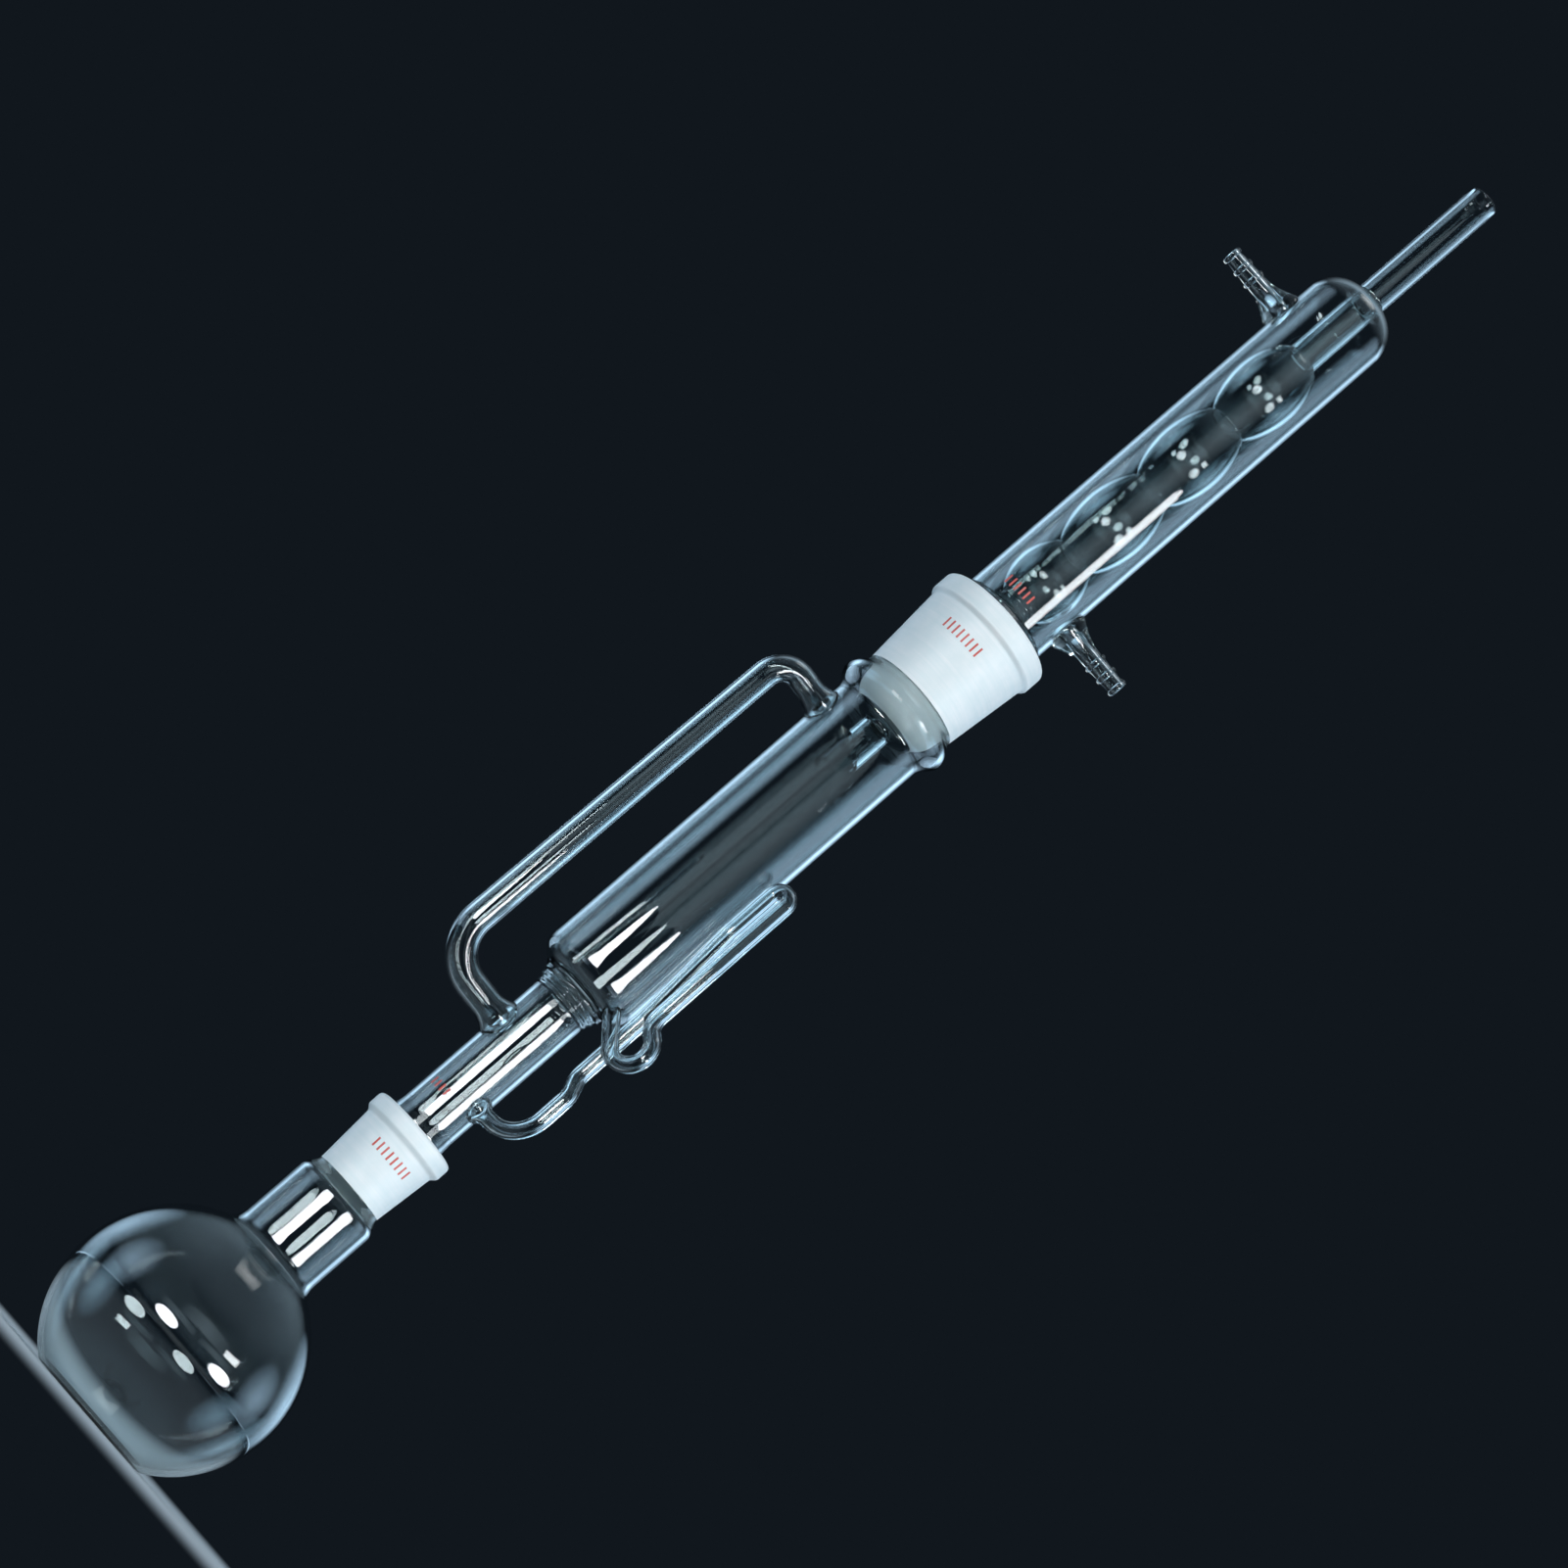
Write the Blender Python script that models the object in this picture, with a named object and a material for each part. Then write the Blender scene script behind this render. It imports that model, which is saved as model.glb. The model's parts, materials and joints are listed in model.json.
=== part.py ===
# Soxhlet extractor in blown borosilicate glass: a flat-bottom flask, an extractor with its siphon,
# and a bulb condenser, stacked in two ground taper joints.
# Metres, +Z up along the glass axis, origin at the centre of the flask's flat base.

import math

import bmesh
import bpy
from mathutils import Matrix, Vector

# Facets and clearances
SEGMENTS = 24
TUBE_SIDES = 10
BEND_STEP = math.radians(22.5)
WELD_GAP = 0.0003
JOINT_CLEARANCE = 0.0003
JOINT_TAPER = 0.1

# Flask
BULB_DIAMETER = 0.088
BULB_WALL = 0.0018
BASE_DIAMETER = 0.047
BASE_KNUCKLE = 0.0010
NECK_DIAMETER = 0.034
NECK_FILLET = 0.006
NECK_LENGTH = 0.023
NECK_SHOULDER = 0.0065

# Lower ground joint, flask to extractor
LOWER_JOINT_DIAMETER = 0.024
LOWER_JOINT_LENGTH = 0.029
LOWER_SOCKET_WALL = 0.0033
LOWER_RIM_WALL = 0.0037
LOWER_RIM_PROUD = 0.0017
LOWER_RIM_HEIGHT = 0.0080
LOWER_CONE_WALL = 0.0018
LOWER_CONE_RISE = 0.0055

# Upper ground joint, extractor to condenser
UPPER_JOINT_DIAMETER = 0.040
UPPER_JOINT_LENGTH = 0.040
UPPER_SOCKET_WALL = 0.0019
UPPER_RIM_WALL = 0.0029
UPPER_RIM_PROUD = 0.0015
UPPER_RIM_HEIGHT = 0.0096
UPPER_CONE_WALL = 0.0022
UPPER_CONE_RISE = 0.0030
RIM_EDGE = 0.0016

# Extractor body
VAPOUR_TUBE_DIAMETER = 0.0226
VAPOUR_TUBE_WALL = 0.0015
VAPOUR_TUBE_LENGTH = 0.0645
FLARE_DIAMETER = 0.0288
FLARE_HEIGHT = 0.0080
CHAMBER_DIAMETER = 0.040
CHAMBER_WALL = 0.0016
CHAMBER_LENGTH = 0.136
CHAMBER_CORNER = 0.0080
COLLAR_DIAMETER = 0.0476
COLLAR_HEIGHT = 0.0158
COLLAR_PEAK = 0.0082

# Vapour sidearm
SIDEARM_AZIMUTH = math.radians(200)
SIDEARM_DIAMETER = 0.0108
SIDEARM_TOP_DIAMETER = 0.0096
SIDEARM_WALL = 0.0013
SIDEARM_REACH = 0.0420
SIDEARM_LEAN = 0.0010
SIDEARM_LOW_BEND = 0.016
SIDEARM_HIGH_BEND = 0.0095
SIDEARM_LOW_DROP = 0.026
SIDEARM_HIGH_DROP = 0.010
SIDEARM_WELD_FLARE = 0.0022
SIDEARM_WELD_LENGTH = 0.007

# Siphon tube
SIPHON_AZIMUTH = math.radians(-36)
SIPHON_DIAMETER = 0.0060
SIPHON_WALL = 0.0013
SIPHON_STANDOFF = 0.0004
SIPHON_LEG_GAP = 0.0010
SIPHON_HEIGHT = 0.0722
SIPHON_PORT_MARGIN = 0.0006
SIPHON_PORT_FLARE = 0.0003
SIPHON_FOOT_HEIGHT = 0.0134
SIPHON_FOOT_BEND = 0.0125
SIPHON_WELD_FLARE = 0.0020
SIPHON_WELD_LENGTH = 0.0045
CURL_RADIUS = 0.0072
CURL_DROP = 0.0084
CURL_OVERHANG = 0.0098
CURL_ENTRY = 0.0101
CURL_OFFSET = 0.0020
CURL_CLEARANCE = 0.0008
CURL_EXIT_SLOPE = math.radians(30)
JOG_BEND = 0.010
JOG_START = 0.026
JOG_END = 0.009
STEP_BEND = 0.005
STEP_START = 0.020
STEP_END = 0.0272

# Condenser
JACKET_DIAMETER = 0.036
JACKET_WALL = 0.0016
JACKET_HEADROOM = 0.020
DOME_HEIGHT = 0.0125
WATER_GAP = 0.0031
CONE_ROUNDING = 0.016
DRIP_DIAMETER = 0.012
DRIP_WALL = 0.0014
DRIP_LENGTH = 0.0147
DRIP_SLANT = math.radians(32)
BULB_COUNT = 4
BULB_STEPS = 6
BULB_TUBE_WALL = 0.0013
BULB_TUBE_FOOT = 0.0065
BULB_TUBE_FOOT_GAP = 0.0005
BULB_NECK_DIAMETER = 0.0155
BULB_PITCH = 0.0368
LOWEST_BULB_LENGTH = 0.027
BULB_TUBE_SEGMENTS = 20
VENT_DIAMETER = 0.0122
VENT_WALL = 0.0013
VENT_LENGTH = 0.059
VENT_SEAT = 0.006

# Hose connectors
INLET_HEIGHT = 0.0180
OUTLET_RISE = 0.0064
HOSE_LENGTH = 0.0265
HOSE_DIAMETER = 0.0078
HOSE_RIDGE = 0.0005
HOSE_RIDGE_PITCH = 0.0055
HOSE_RIDGES = 2
HOSE_TIP = 0.0073
HOSE_ROOT_DIAMETER = 0.0155
HOSE_ROOT_LENGTH = 0.0120
HOSE_BORE = 0.0040
HOSE_SEGMENTS = 16

# A tube's end starts this far inside the wall that it is welded to, and is then trimmed to it
WELD_INSET = 0.003

# Radii and heights of the flask, from its base
bulb_r = BULB_DIAMETER / 2
base_r = BASE_DIAMETER / 2
neck_r = NECK_DIAMETER / 2
knuckle_r = BASE_KNUCKLE + BULB_WALL
bulb_z = knuckle_r + math.sqrt((bulb_r - knuckle_r) ** 2 - base_r ** 2)
fillet_z = bulb_z + math.sqrt((bulb_r + NECK_FILLET) ** 2 - (neck_r + NECK_FILLET) ** 2)
shoulder_z = fillet_z + NECK_LENGTH
neck_top_z = shoulder_z + NECK_SHOULDER
lower_mouth_z = neck_top_z + WELD_GAP + LOWER_JOINT_LENGTH

# Radii and heights of the extractor, from the mouth of the flask's socket
lower_mouth_r = LOWER_JOINT_DIAMETER / 2
lower_foot_r = lower_mouth_r - LOWER_JOINT_LENGTH * JOINT_TAPER / 2
tube_r = VAPOUR_TUBE_DIAMETER / 2
tube_bore_r = tube_r - VAPOUR_TUBE_WALL
tube_z = LOWER_CONE_RISE + WELD_GAP
floor_z = tube_z + VAPOUR_TUBE_LENGTH
flare_r = FLARE_DIAMETER / 2
chamber_r = CHAMBER_DIAMETER / 2
corner_r = chamber_r - CHAMBER_CORNER
corner_z = floor_z + CHAMBER_CORNER
chamber_top_z = floor_z + CHAMBER_LENGTH
collar_z = chamber_top_z + WELD_GAP
collar_top_z = collar_z + COLLAR_HEIGHT
upper_mouth_z = collar_top_z + WELD_GAP + UPPER_JOINT_LENGTH
siphon_r = SIPHON_DIAMETER / 2

# Radii and heights of the condenser, from the mouth of the extractor's socket
upper_mouth_r = UPPER_JOINT_DIAMETER / 2
upper_foot_r = upper_mouth_r - UPPER_JOINT_LENGTH * JOINT_TAPER / 2
jacket_r = JACKET_DIAMETER / 2
jacket_bore_r = jacket_r - JACKET_WALL
jacket_z = UPPER_CONE_RISE + WELD_GAP
bulb_foot_r = jacket_bore_r - BULB_TUBE_FOOT_GAP
bulbs_z = jacket_z + BULB_TUBE_FOOT
bulbs_top_z = bulbs_z + LOWEST_BULB_LENGTH + (BULB_COUNT - 1) * BULB_PITCH
dome_z = bulbs_top_z + JACKET_HEADROOM
dome_top_z = dome_z + DOME_HEIGHT
cone_end_z = -UPPER_JOINT_LENGTH - CONE_ROUNDING
drip_r = DRIP_DIAMETER / 2
vent_r = VENT_DIAMETER / 2
vent_z = dome_top_z - VENT_SEAT

# Clear drawn glass, and the pale matt face of ground glass
CLEAR = {"colour": (0.83, 0.90, 0.94, 1.0), "roughness": 0.03, "transmission": 1.0}
GROUND = {"colour": (0.86, 0.92, 0.95, 1.0), "roughness": 0.55, "transmission": 0.5}
GLASS_IOR = 1.47
SHARP_ANGLE = math.radians(40)


# Outlines, as lists of (radius, height)

def arc(centre, radii, start, stop, steps):
    wide, high = radii
    turns = [start + (stop - start) * i / steps for i in range(steps + 1)]
    return [(centre[0] + wide * math.cos(a), centre[1] + high * math.sin(a)) for a in turns]


def ease(start, stop, steps=5, sweep=math.pi):
    # An S-curve in radius, or over half the sweep a trumpet that leaves the start straight
    points = []
    for i in range(steps + 1):
        share = i / steps
        blend = (1 - math.cos(sweep * share)) / (1 - math.cos(sweep))
        points.append((start[0] + (stop[0] - start[0]) * blend, start[1] + (stop[1] - start[1]) * share))
    return points


def trumpet(start, stop, steps=4):
    return ease(start, stop, steps, math.pi / 2)


def inset(points, wall):
    return [(r - wall, z) for r, z in points]


def outline(*runs):
    points = []
    for run in runs:
        for point in run:
            if not points or math.dist(point, points[-1]) > 1e-6:
                points.append(point)
    return points


def socket_outline(mouth_r, mouth_z, length, wall, rim_wall, rim_proud, rim_height):
    foot = (mouth_r - length * JOINT_TAPER / 2, mouth_z - length)
    step_z = mouth_z - rim_height
    body_r = mouth_r - rim_height * JOINT_TAPER / 2 + rim_wall
    rim_r = body_r + rim_proud
    edge = arc((rim_r - RIM_EDGE, mouth_z - RIM_EDGE), (RIM_EDGE, RIM_EDGE), 0, math.pi / 2, 3)
    outside = [(foot[0] + wall, foot[1]), (body_r, step_z), (rim_r, step_z + rim_proud)]
    return outline([foot], outside, edge, [(mouth_r, mouth_z)])


# Objects

def glass(name, finish):
    material = bpy.data.materials.new(name + "_glass")
    material.use_nodes = True
    shader = material.node_tree.nodes["Principled BSDF"]
    shader.inputs["Base Color"].default_value = finish["colour"]
    shader.inputs["Roughness"].default_value = finish["roughness"]
    shader.inputs["Transmission Weight"].default_value = finish["transmission"]
    shader.inputs["Metallic"].default_value = 0.0
    shader.inputs["IOR"].default_value = GLASS_IOR
    return material


def glass_unit(name, height):
    empty = bpy.data.objects.new(name, None)
    empty.location.z = height
    bpy.context.scene.collection.objects.link(empty)
    return empty


def place(name, bm, parent, finish=None):
    # A piece without a finish is a cutter
    bmesh.ops.remove_doubles(bm, verts=bm.verts, dist=1e-7)
    bmesh.ops.recalc_face_normals(bm, faces=bm.faces)
    mesh = bpy.data.meshes.new(name)
    bm.to_mesh(mesh)
    bm.free()
    mesh.shade_smooth()
    mesh.set_sharp_from_angle(angle=SHARP_ANGLE)
    piece = bpy.data.objects.new(name, mesh)
    piece.parent = parent
    bpy.context.scene.collection.objects.link(piece)
    if finish:
        mesh.materials.append(glass(name, finish))
    else:
        piece.hide_render = True
        piece.display_type = "WIRE"
    return piece


def turned(name, points, parent, finish=None, segments=SEGMENTS, turn=Matrix.Identity(4)):
    # A closed outline gives a ring, and one that starts and ends on the axis gives a solid
    bm = bmesh.new()
    verts = [bm.verts.new((r, 0, z)) for r, z in points]
    pairs = list(zip(verts, verts[1:]))
    if points[0][0] > 0:
        pairs.append((verts[-1], verts[0]))
    edges = [bm.edges.new(pair) for pair in pairs]
    bmesh.ops.spin(bm, geom=verts + edges, axis=(0, 0, 1), cent=(0, 0, 0), angle=math.tau,
                   steps=segments, use_merge=True)
    bmesh.ops.transform(bm, matrix=turn, verts=bm.verts)
    return place(name, bm, parent, finish)


def swept(name, path, radii, wall, parent, finish):
    # One unbroken tube with its bore: the outer rings run out along the path, the inner ones back
    bm = bmesh.new()
    outer = []
    inner = []
    turns = [math.tau * k / TUBE_SIDES for k in range(TUBE_SIDES)]
    side = (path[1] - path[0]).orthogonal()
    for i, point in enumerate(path):
        ahead = path[min(i + 1, len(path) - 1)] - point
        behind = point - path[max(i - 1, 0)]
        along = (ahead.normalized() + behind.normalized()).normalized()
        side = (side - along * side.dot(along)).normalized()
        other = along.cross(side)
        rays = [side * math.cos(a) + other * math.sin(a) for a in turns]
        outer.append([bm.verts.new(point + ray * radii[i]) for ray in rays])
        inner.append([bm.verts.new(point + ray * (radii[i] - wall)) for ray in rays])
    rings = outer + inner[::-1]
    for near, far in zip(rings, rings[1:] + rings[:1]):
        for k in range(TUBE_SIDES):
            n = (k + 1) % TUBE_SIDES
            bm.faces.new((near[k], near[n], far[n], far[k]))
    return place(name, bm, parent, finish)


def rod(name, start, stop, radius, parent):
    span = stop - start
    turn = span.to_track_quat("Z", "Y").to_matrix().to_4x4()
    middle = Matrix.Translation((start + stop) / 2)
    bm = bmesh.new()
    bmesh.ops.create_cone(bm, cap_ends=True, segments=TUBE_SIDES, radius1=radius, radius2=radius,
                          depth=span.length, matrix=middle @ turn)
    return place(name, bm, parent)


def drum(name, radius, low, high, parent):
    return turned(name, [(0, low), (radius, low), (radius, high), (0, high)], parent)


def cut(piece, *cutters):
    for cutter in cutters:
        modifier = piece.modifiers.new(cutter.name, "BOOLEAN")
        modifier.operation = "DIFFERENCE"
        modifier.solver = "EXACT"
        modifier.object = cutter


# Centre lines of bent tubes

def radial(azimuth, radius, height, offset=0.0):
    out = Vector((math.cos(azimuth), math.sin(azimuth), 0))
    across = Vector((-math.sin(azimuth), math.cos(azimuth), 0))
    return out * radius + across * offset + Vector((0, 0, height))


def bent(corners):
    # Straight runs between corners, each a (point, bend radius), with an arc at every inner corner.
    # Where two arcs would meet on a short run, both are drawn tighter.
    points = [corner[0] for corner in corners]
    runs = [b - a for a, b in zip(points, points[1:])]
    turns = [a.angle(b) for a, b in zip(runs, runs[1:])]
    reach = [0.0] + [c[1] * math.tan(t / 2) for c, t in zip(corners[1:], turns)] + [0.0]
    room = [min(1.0, run.length / max(reach[i] + reach[i + 1], 1e-9)) for i, run in enumerate(runs)]
    path = [points[0]]
    for i, turn in enumerate(turns, start=1):
        length = reach[i] * min(room[i - 1], room[i])
        path += corner_arc(points[i], -runs[i - 1].normalized(), runs[i].normalized(), length, turn)
    path.append(points[-1])
    return [p for i, p in enumerate(path) if i == 0 or (p - path[i - 1]).length > 1e-6]


def corner_arc(corner, back, onward, length, turn):
    if length < 1e-6:
        return [corner]
    radius = length / math.tan(turn / 2)
    centre = corner + (back + onward).normalized() * radius / math.cos(turn / 2)
    first = corner + back * length - centre
    last = corner + onward * length - centre
    steps = max(2, math.ceil(turn / BEND_STEP))
    shares = [i / steps for i in range(steps + 1)]
    return [centre + (first * math.sin((1 - s) * turn) + last * math.sin(s * turn)) / math.sin(turn)
            for s in shares]


def weld_run(start, stop, length):
    # Corners of a straight end run: its start inside the wall, then the steps of its flare
    along = (stop - start).normalized()
    steps = [0, WELD_INSET] + [WELD_INSET + length * share for share in (0.3, 0.6, 1.0)]
    return [(start + along * step, 0.0) for step in steps]


def tube_radii(path, start_r, end_r, start_flare, end_flare, length):
    runs = [(b - a).length for a, b in zip(path, path[1:])]
    gone = [sum(runs[:i]) for i in range(len(path))]
    radii = []
    for distance in gone:
        share = distance / gone[-1]
        from_start = max(distance - WELD_INSET, 0)
        from_end = max(gone[-1] - distance - WELD_INSET, 0)
        flare = start_flare * max(1 - from_start / length, 0) ** 2
        flare += end_flare * max(1 - from_end / length, 0) ** 2
        radii.append(start_r + (end_r - start_r) * share + flare)
    return radii


# Flask

def flask_bulb(parent):
    shell = []
    for wall in (0, BULB_WALL):
        knuckle = arc((base_r, knuckle_r), (knuckle_r - wall, knuckle_r - wall), -math.pi / 2,
                      math.atan2(knuckle_r - bulb_z, base_r), 3)
        fillet = NECK_FILLET + wall
        lean = math.atan2(fillet_z - bulb_z, neck_r + NECK_FILLET)
        belly = arc((0, bulb_z), (bulb_r - wall, bulb_r - wall),
                    math.atan2(knuckle_r - bulb_z, base_r), lean, 11)
        throat = arc((neck_r + NECK_FILLET, fillet_z), (fillet, fillet), math.pi + lean, math.pi, 3)
        socket_r = lower_foot_r + (0 if wall else LOWER_SOCKET_WALL)
        shoulder = ease((neck_r - wall, shoulder_z), (socket_r, neck_top_z), 4)
        shell.append(outline([(0, wall)], knuckle, belly, throat, shoulder))
    turned("flask_bulb", outline(shell[0], shell[1][::-1]), parent, CLEAR)


def flask_socket(parent):
    points = socket_outline(lower_mouth_r, lower_mouth_z, LOWER_JOINT_LENGTH, LOWER_SOCKET_WALL,
                            LOWER_RIM_WALL, LOWER_RIM_PROUD, LOWER_RIM_HEIGHT)
    turned("flask_socket", points, parent, GROUND)


# Extractor

def extractor_cone(parent):
    mouth_r = lower_mouth_r - JOINT_CLEARANCE
    foot_r = lower_foot_r - JOINT_CLEARANCE
    outside = ease((mouth_r, 0), (tube_r, LOWER_CONE_RISE), 3)
    inside = ease((mouth_r - LOWER_CONE_WALL, 0), (tube_bore_r, LOWER_CONE_RISE), 3)
    foot = [(foot_r - LOWER_CONE_WALL, -LOWER_JOINT_LENGTH), (foot_r, -LOWER_JOINT_LENGTH)]
    turned("extractor_cone", outline(foot, outside, inside[::-1]), parent, GROUND)


def vapour_tube(parent, ports):
    top_z = floor_z - WELD_GAP
    flare = trumpet((tube_r, floor_z - FLARE_HEIGHT), (flare_r, top_z))
    outside = outline([(tube_r, tube_z)], flare)
    points = outline(outside, inset(outside, VAPOUR_TUBE_WALL)[::-1])
    cut(turned("vapour_tube", points, parent, CLEAR), *ports)


def extraction_chamber(parent, ports):
    shell = []
    for wall in (0, CHAMBER_WALL):
        corner = arc((corner_r, corner_z), (CHAMBER_CORNER - wall, CHAMBER_CORNER - wall),
                     -math.pi / 2, 0, 5)
        shell.append(outline([(0, floor_z + wall)], corner, [(chamber_r - wall, chamber_top_z)]))
    points = outline(shell[0], shell[1][::-1])
    cut(turned("extraction_chamber", points, parent, CLEAR), *ports)


def chamber_collar(parent):
    peak_z = collar_z + COLLAR_PEAK
    shell = []
    for wall in (0, CHAMBER_WALL):
        peak = (COLLAR_DIAMETER / 2 - wall, peak_z)
        top_r = upper_foot_r + (0 if wall else UPPER_SOCKET_WALL)
        shell.append(outline(ease((chamber_r - wall, collar_z), peak),
                             ease(peak, (top_r, collar_top_z))))
    turned("chamber_collar", outline(shell[0], shell[1][::-1]), parent, CLEAR)


def extractor_socket(parent):
    points = socket_outline(upper_mouth_r, upper_mouth_z, UPPER_JOINT_LENGTH, UPPER_SOCKET_WALL,
                            UPPER_RIM_WALL, UPPER_RIM_PROUD, UPPER_RIM_HEIGHT)
    turned("extractor_socket", points, parent, GROUND)


def vapour_sidearm(parent, trims):
    low_z = floor_z - SIDEARM_LOW_DROP
    high_z = chamber_top_z - SIDEARM_HIGH_DROP
    low_corner = radial(SIDEARM_AZIMUTH, SIDEARM_REACH, low_z)
    high_corner = radial(SIDEARM_AZIMUTH, SIDEARM_REACH - SIDEARM_LEAN, high_z)
    low_end = radial(SIDEARM_AZIMUTH, tube_r - WELD_INSET, low_z)
    high_end = radial(SIDEARM_AZIMUTH, chamber_r - WELD_INSET, high_z)
    path = bent(weld_run(low_end, low_corner, SIDEARM_WELD_LENGTH)
                + [(low_corner, SIDEARM_LOW_BEND), (high_corner, SIDEARM_HIGH_BEND)]
                + weld_run(high_end, high_corner, SIDEARM_WELD_LENGTH)[::-1])
    radii = tube_radii(path, SIDEARM_DIAMETER / 2, SIDEARM_TOP_DIAMETER / 2, SIDEARM_WELD_FLARE,
                       SIDEARM_WELD_FLARE, SIDEARM_WELD_LENGTH)
    cut(swept("vapour_sidearm", path, radii, SIDEARM_WALL, parent, CLEAR), *trims)


def siphon_port():
    # Where the siphon leaves the chamber's rounded corner, clear of the vapour tube's flare
    weld_r = siphon_r + SIPHON_PORT_FLARE
    clear = math.acos((flare_r + SIPHON_PORT_MARGIN - corner_r) / CHAMBER_CORNER)
    angle = clear - math.asin(weld_r / CHAMBER_CORNER)
    return radial(SIPHON_AZIMUTH, corner_r + CHAMBER_CORNER * math.cos(angle),
                  corner_z - CHAMBER_CORNER * math.sin(angle), -CURL_OFFSET)


def siphon_entry():
    # The first corner of the curl, under the port
    return radial(SIPHON_AZIMUTH, siphon_riser() + CURL_OVERHANG - CURL_ENTRY, floor_z - CURL_DROP,
                  -CURL_OFFSET)


def siphon_return():
    return chamber_r + SIPHON_STANDOFF + siphon_r


def siphon_riser():
    return siphon_return() + SIPHON_DIAMETER + SIPHON_LEG_GAP


def siphon_corners():
    riser = siphon_riser()
    back = siphon_return()
    pitch = riser - back
    outer = riser + CURL_OVERHANG
    low_z = floor_z - CURL_DROP
    side_z = low_z + CURL_RADIUS * (1 + math.tan(math.pi / 4 - CURL_EXIT_SLOPE / 2))
    exit_z = side_z + CURL_OVERHANG * math.tan(CURL_EXIT_SLOPE)
    top_z = floor_z + SIPHON_HEIGHT
    foot_z = tube_z + SIPHON_FOOT_HEIGHT
    behind = SIPHON_DIAMETER + CURL_CLEARANCE - CURL_OFFSET
    route = [(outer, low_z, -CURL_OFFSET, CURL_RADIUS),
             (outer, side_z, -CURL_OFFSET, CURL_RADIUS),
             (riser, exit_z, 0, CURL_RADIUS),
             (riser, top_z, 0, pitch / 2),
             (back, top_z, 0, pitch / 2),
             (back, floor_z + JOG_START, 0, JOG_BEND),
             (back + WELD_GAP, floor_z + JOG_END, behind, JOG_BEND),
             (back + WELD_GAP, floor_z - STEP_START, behind, STEP_BEND),
             (riser, floor_z - STEP_END, 0, STEP_BEND),
             (riser, foot_z, 0, SIPHON_FOOT_BEND)]
    return [(radial(SIPHON_AZIMUTH, r, z, offset), bend) for r, z, offset, bend in route]


def siphon_tube(parent, trims):
    port = siphon_port()
    entry = siphon_entry()
    start = port + (port - entry).normalized() * WELD_INSET
    corners = siphon_corners()
    foot = corners[-1][0]
    end = radial(SIPHON_AZIMUTH, tube_r - WELD_INSET, foot.z)
    path = bent([(start, 0.0), (entry, CURL_RADIUS)] + corners
                + weld_run(end, foot, SIPHON_WELD_LENGTH)[::-1])
    radii = tube_radii(path, siphon_r, siphon_r, SIPHON_PORT_FLARE, SIPHON_WELD_FLARE,
                       SIPHON_WELD_LENGTH)
    cut(swept("siphon_tube", path, radii, SIPHON_WALL, parent, CLEAR), *trims)


def build_extractor(parent):
    low_z = floor_z - SIDEARM_LOW_DROP
    high_z = chamber_top_z - SIDEARM_HIGH_DROP
    foot_z = tube_z + SIPHON_FOOT_HEIGHT
    low_port = rod("low_sidearm_port", Vector((0, 0, low_z)),
                   radial(SIDEARM_AZIMUTH, SIDEARM_REACH, low_z),
                   SIDEARM_DIAMETER / 2 - SIDEARM_WALL, parent)
    high_port = rod("high_sidearm_port", Vector((0, 0, high_z)),
                    radial(SIDEARM_AZIMUTH, SIDEARM_REACH, high_z),
                    SIDEARM_TOP_DIAMETER / 2 - SIDEARM_WALL, parent)
    foot_port = rod("siphon_foot_port", Vector((0, 0, foot_z)),
                    radial(SIPHON_AZIMUTH, siphon_riser(), foot_z), siphon_r - SIPHON_WALL, parent)
    port = siphon_port()
    out = (siphon_entry() - port).normalized() * WELD_INSET
    drain_port = rod("siphon_drain_port", port - out, port + out, siphon_r - SIPHON_WALL, parent)
    tube_trim = drum("tube_trim", tube_r + WELD_GAP, tube_z, low_z + SIDEARM_DIAMETER, parent)
    high_trim = drum("chamber_trim", chamber_r + WELD_GAP, high_z - SIDEARM_DIAMETER, chamber_top_z, parent)
    trim_corner = CHAMBER_CORNER + WELD_GAP
    corner = arc((corner_r, corner_z), (trim_corner, trim_corner), -math.pi / 2, 0, 5)
    trim_top = corner_z + SIPHON_DIAMETER
    corner_trim = turned("corner_trim", outline([(0, floor_z - WELD_GAP)], corner,
                                                [(chamber_r + WELD_GAP, trim_top), (0, trim_top)]), parent)
    extractor_cone(parent)
    vapour_tube(parent, (low_port, foot_port))
    extraction_chamber(parent, (high_port, drain_port))
    chamber_collar(parent)
    extractor_socket(parent)
    vapour_sidearm(parent, (tube_trim, high_trim))
    siphon_tube(parent, (corner_trim, tube_trim))


# Condenser

def condenser_cone(parent):
    mouth_r = upper_mouth_r - JOINT_CLEARANCE
    foot_r = upper_foot_r - JOINT_CLEARANCE
    shell = []
    for wall, end_r, top_r in ((0, drip_r, jacket_r),
                               (UPPER_CONE_WALL, drip_r - DRIP_WALL, bulb_foot_r - BULB_TUBE_WALL)):
        rounding = arc((end_r, -UPPER_JOINT_LENGTH), (foot_r - wall - end_r, CONE_ROUNDING - wall),
                       -math.pi / 2, 0, 6)
        shoulder = ease((mouth_r - wall, -wall), (top_r, UPPER_CONE_RISE), 4)
        shell.append(outline([(end_r, cone_end_z)], rounding, shoulder))
    turned("condenser_cone", outline(shell[0], shell[1][::-1]), parent, GROUND)


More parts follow.
